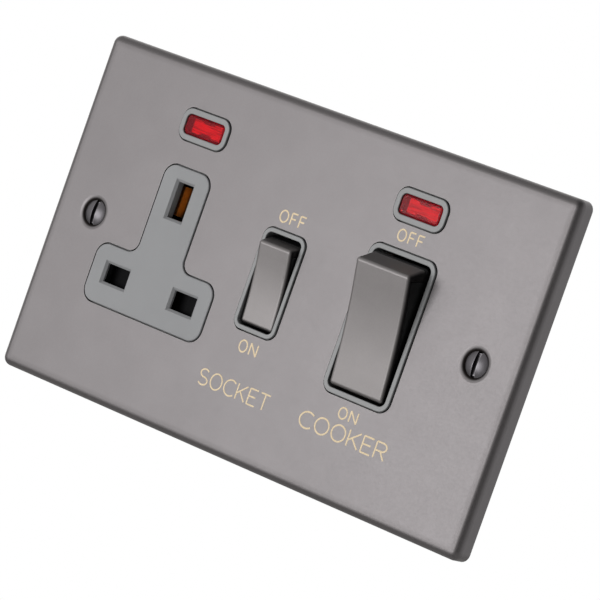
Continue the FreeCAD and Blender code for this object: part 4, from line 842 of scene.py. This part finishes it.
def hang_key_light():
    """A soft square light aimed at the plate's middle."""
    data = bpy.data.lights.new("key", "AREA")
    data.size = KEY_SIZE
    data.energy = KEY_POWER
    lamp = add_object("key", data)
    lamp.location = KEY_PLACE
    lamp.rotation_euler = (-KEY_PLACE).to_track_quat("-Z", "Y").to_euler()


def hide_underside(graph):
    """Makes a surface see-through from behind, so that the object shows from below."""
    shader = next(node for node in graph.tree.nodes if node.type == "BSDF_PRINCIPLED")
    output = next(node for node in graph.tree.nodes if node.type == "OUTPUT_MATERIAL")
    behind = graph.node("ShaderNodeNewGeometry").outputs["Backfacing"]
    clear = graph.node("ShaderNodeBsdfTransparent").outputs[0]
    mix = graph.node("ShaderNodeMixShader", {0: behind, 1: shader.outputs[0], 2: clear})
    graph.tree.links.new(mix.outputs[0], output.inputs[0])


def lay_floor():
    """A plain pale floor below the object."""
    mesh = bpy.data.meshes.new("floor")
    half = FLOOR_WIDTH / 2
    corners = [(-half, -half), (half, -half), (half, half), (-half, half)]
    mesh.from_pydata([(x, y, FLOOR_Z) for x, y in corners], [], [(0, 1, 2, 3)])
    floor = add_object("floor", mesh)
    made, graph = material("pale_floor")
    clouds = graph.noise(scale=0.004)
    tone = graph.blend(graph.spread(clouds, 0.0, 1.0), rgb(244, 244, 243), rgb(238, 238, 237))
    graph.finish({"Base Color": tone, "Roughness": 0.8})
    hide_underside(graph)
    mesh.materials.append(made)


def place_camera():
    """The camera of the photograph."""
    data = bpy.data.cameras.new("camera")
    data.lens = CAMERA_LENS
    data.sensor_width = SENSOR_WIDTH
    data.clip_start, data.clip_end = CAMERA_CLIP
    camera = add_object("camera", data)
    turn = Matrix.Rotation(CAMERA_AZIMUTH, 4, "Z")
    tip = Matrix.Rotation(math.pi / 2 - CAMERA_ELEVATION, 4, "X")
    roll = Matrix.Rotation(CAMERA_ROLL, 4, "Z")
    pose = turn @ tip @ roll
    forward = pose.to_3x3() @ Vector((0, 0, -1))
    camera.matrix_world = Matrix.Translation(CAMERA_AIM - forward * CAMERA_DISTANCE) @ pose
    bpy.context.scene.camera = camera


dress_frame()
fit_screws()
fit_shutter_spring()
write_lettering()
mark_rear()
light_world()
lay_floor()
hang_key_light()
place_camera()
bpy.context.scene.view_settings.view_transform = "Standard"

bpy.context.view_layer.update()
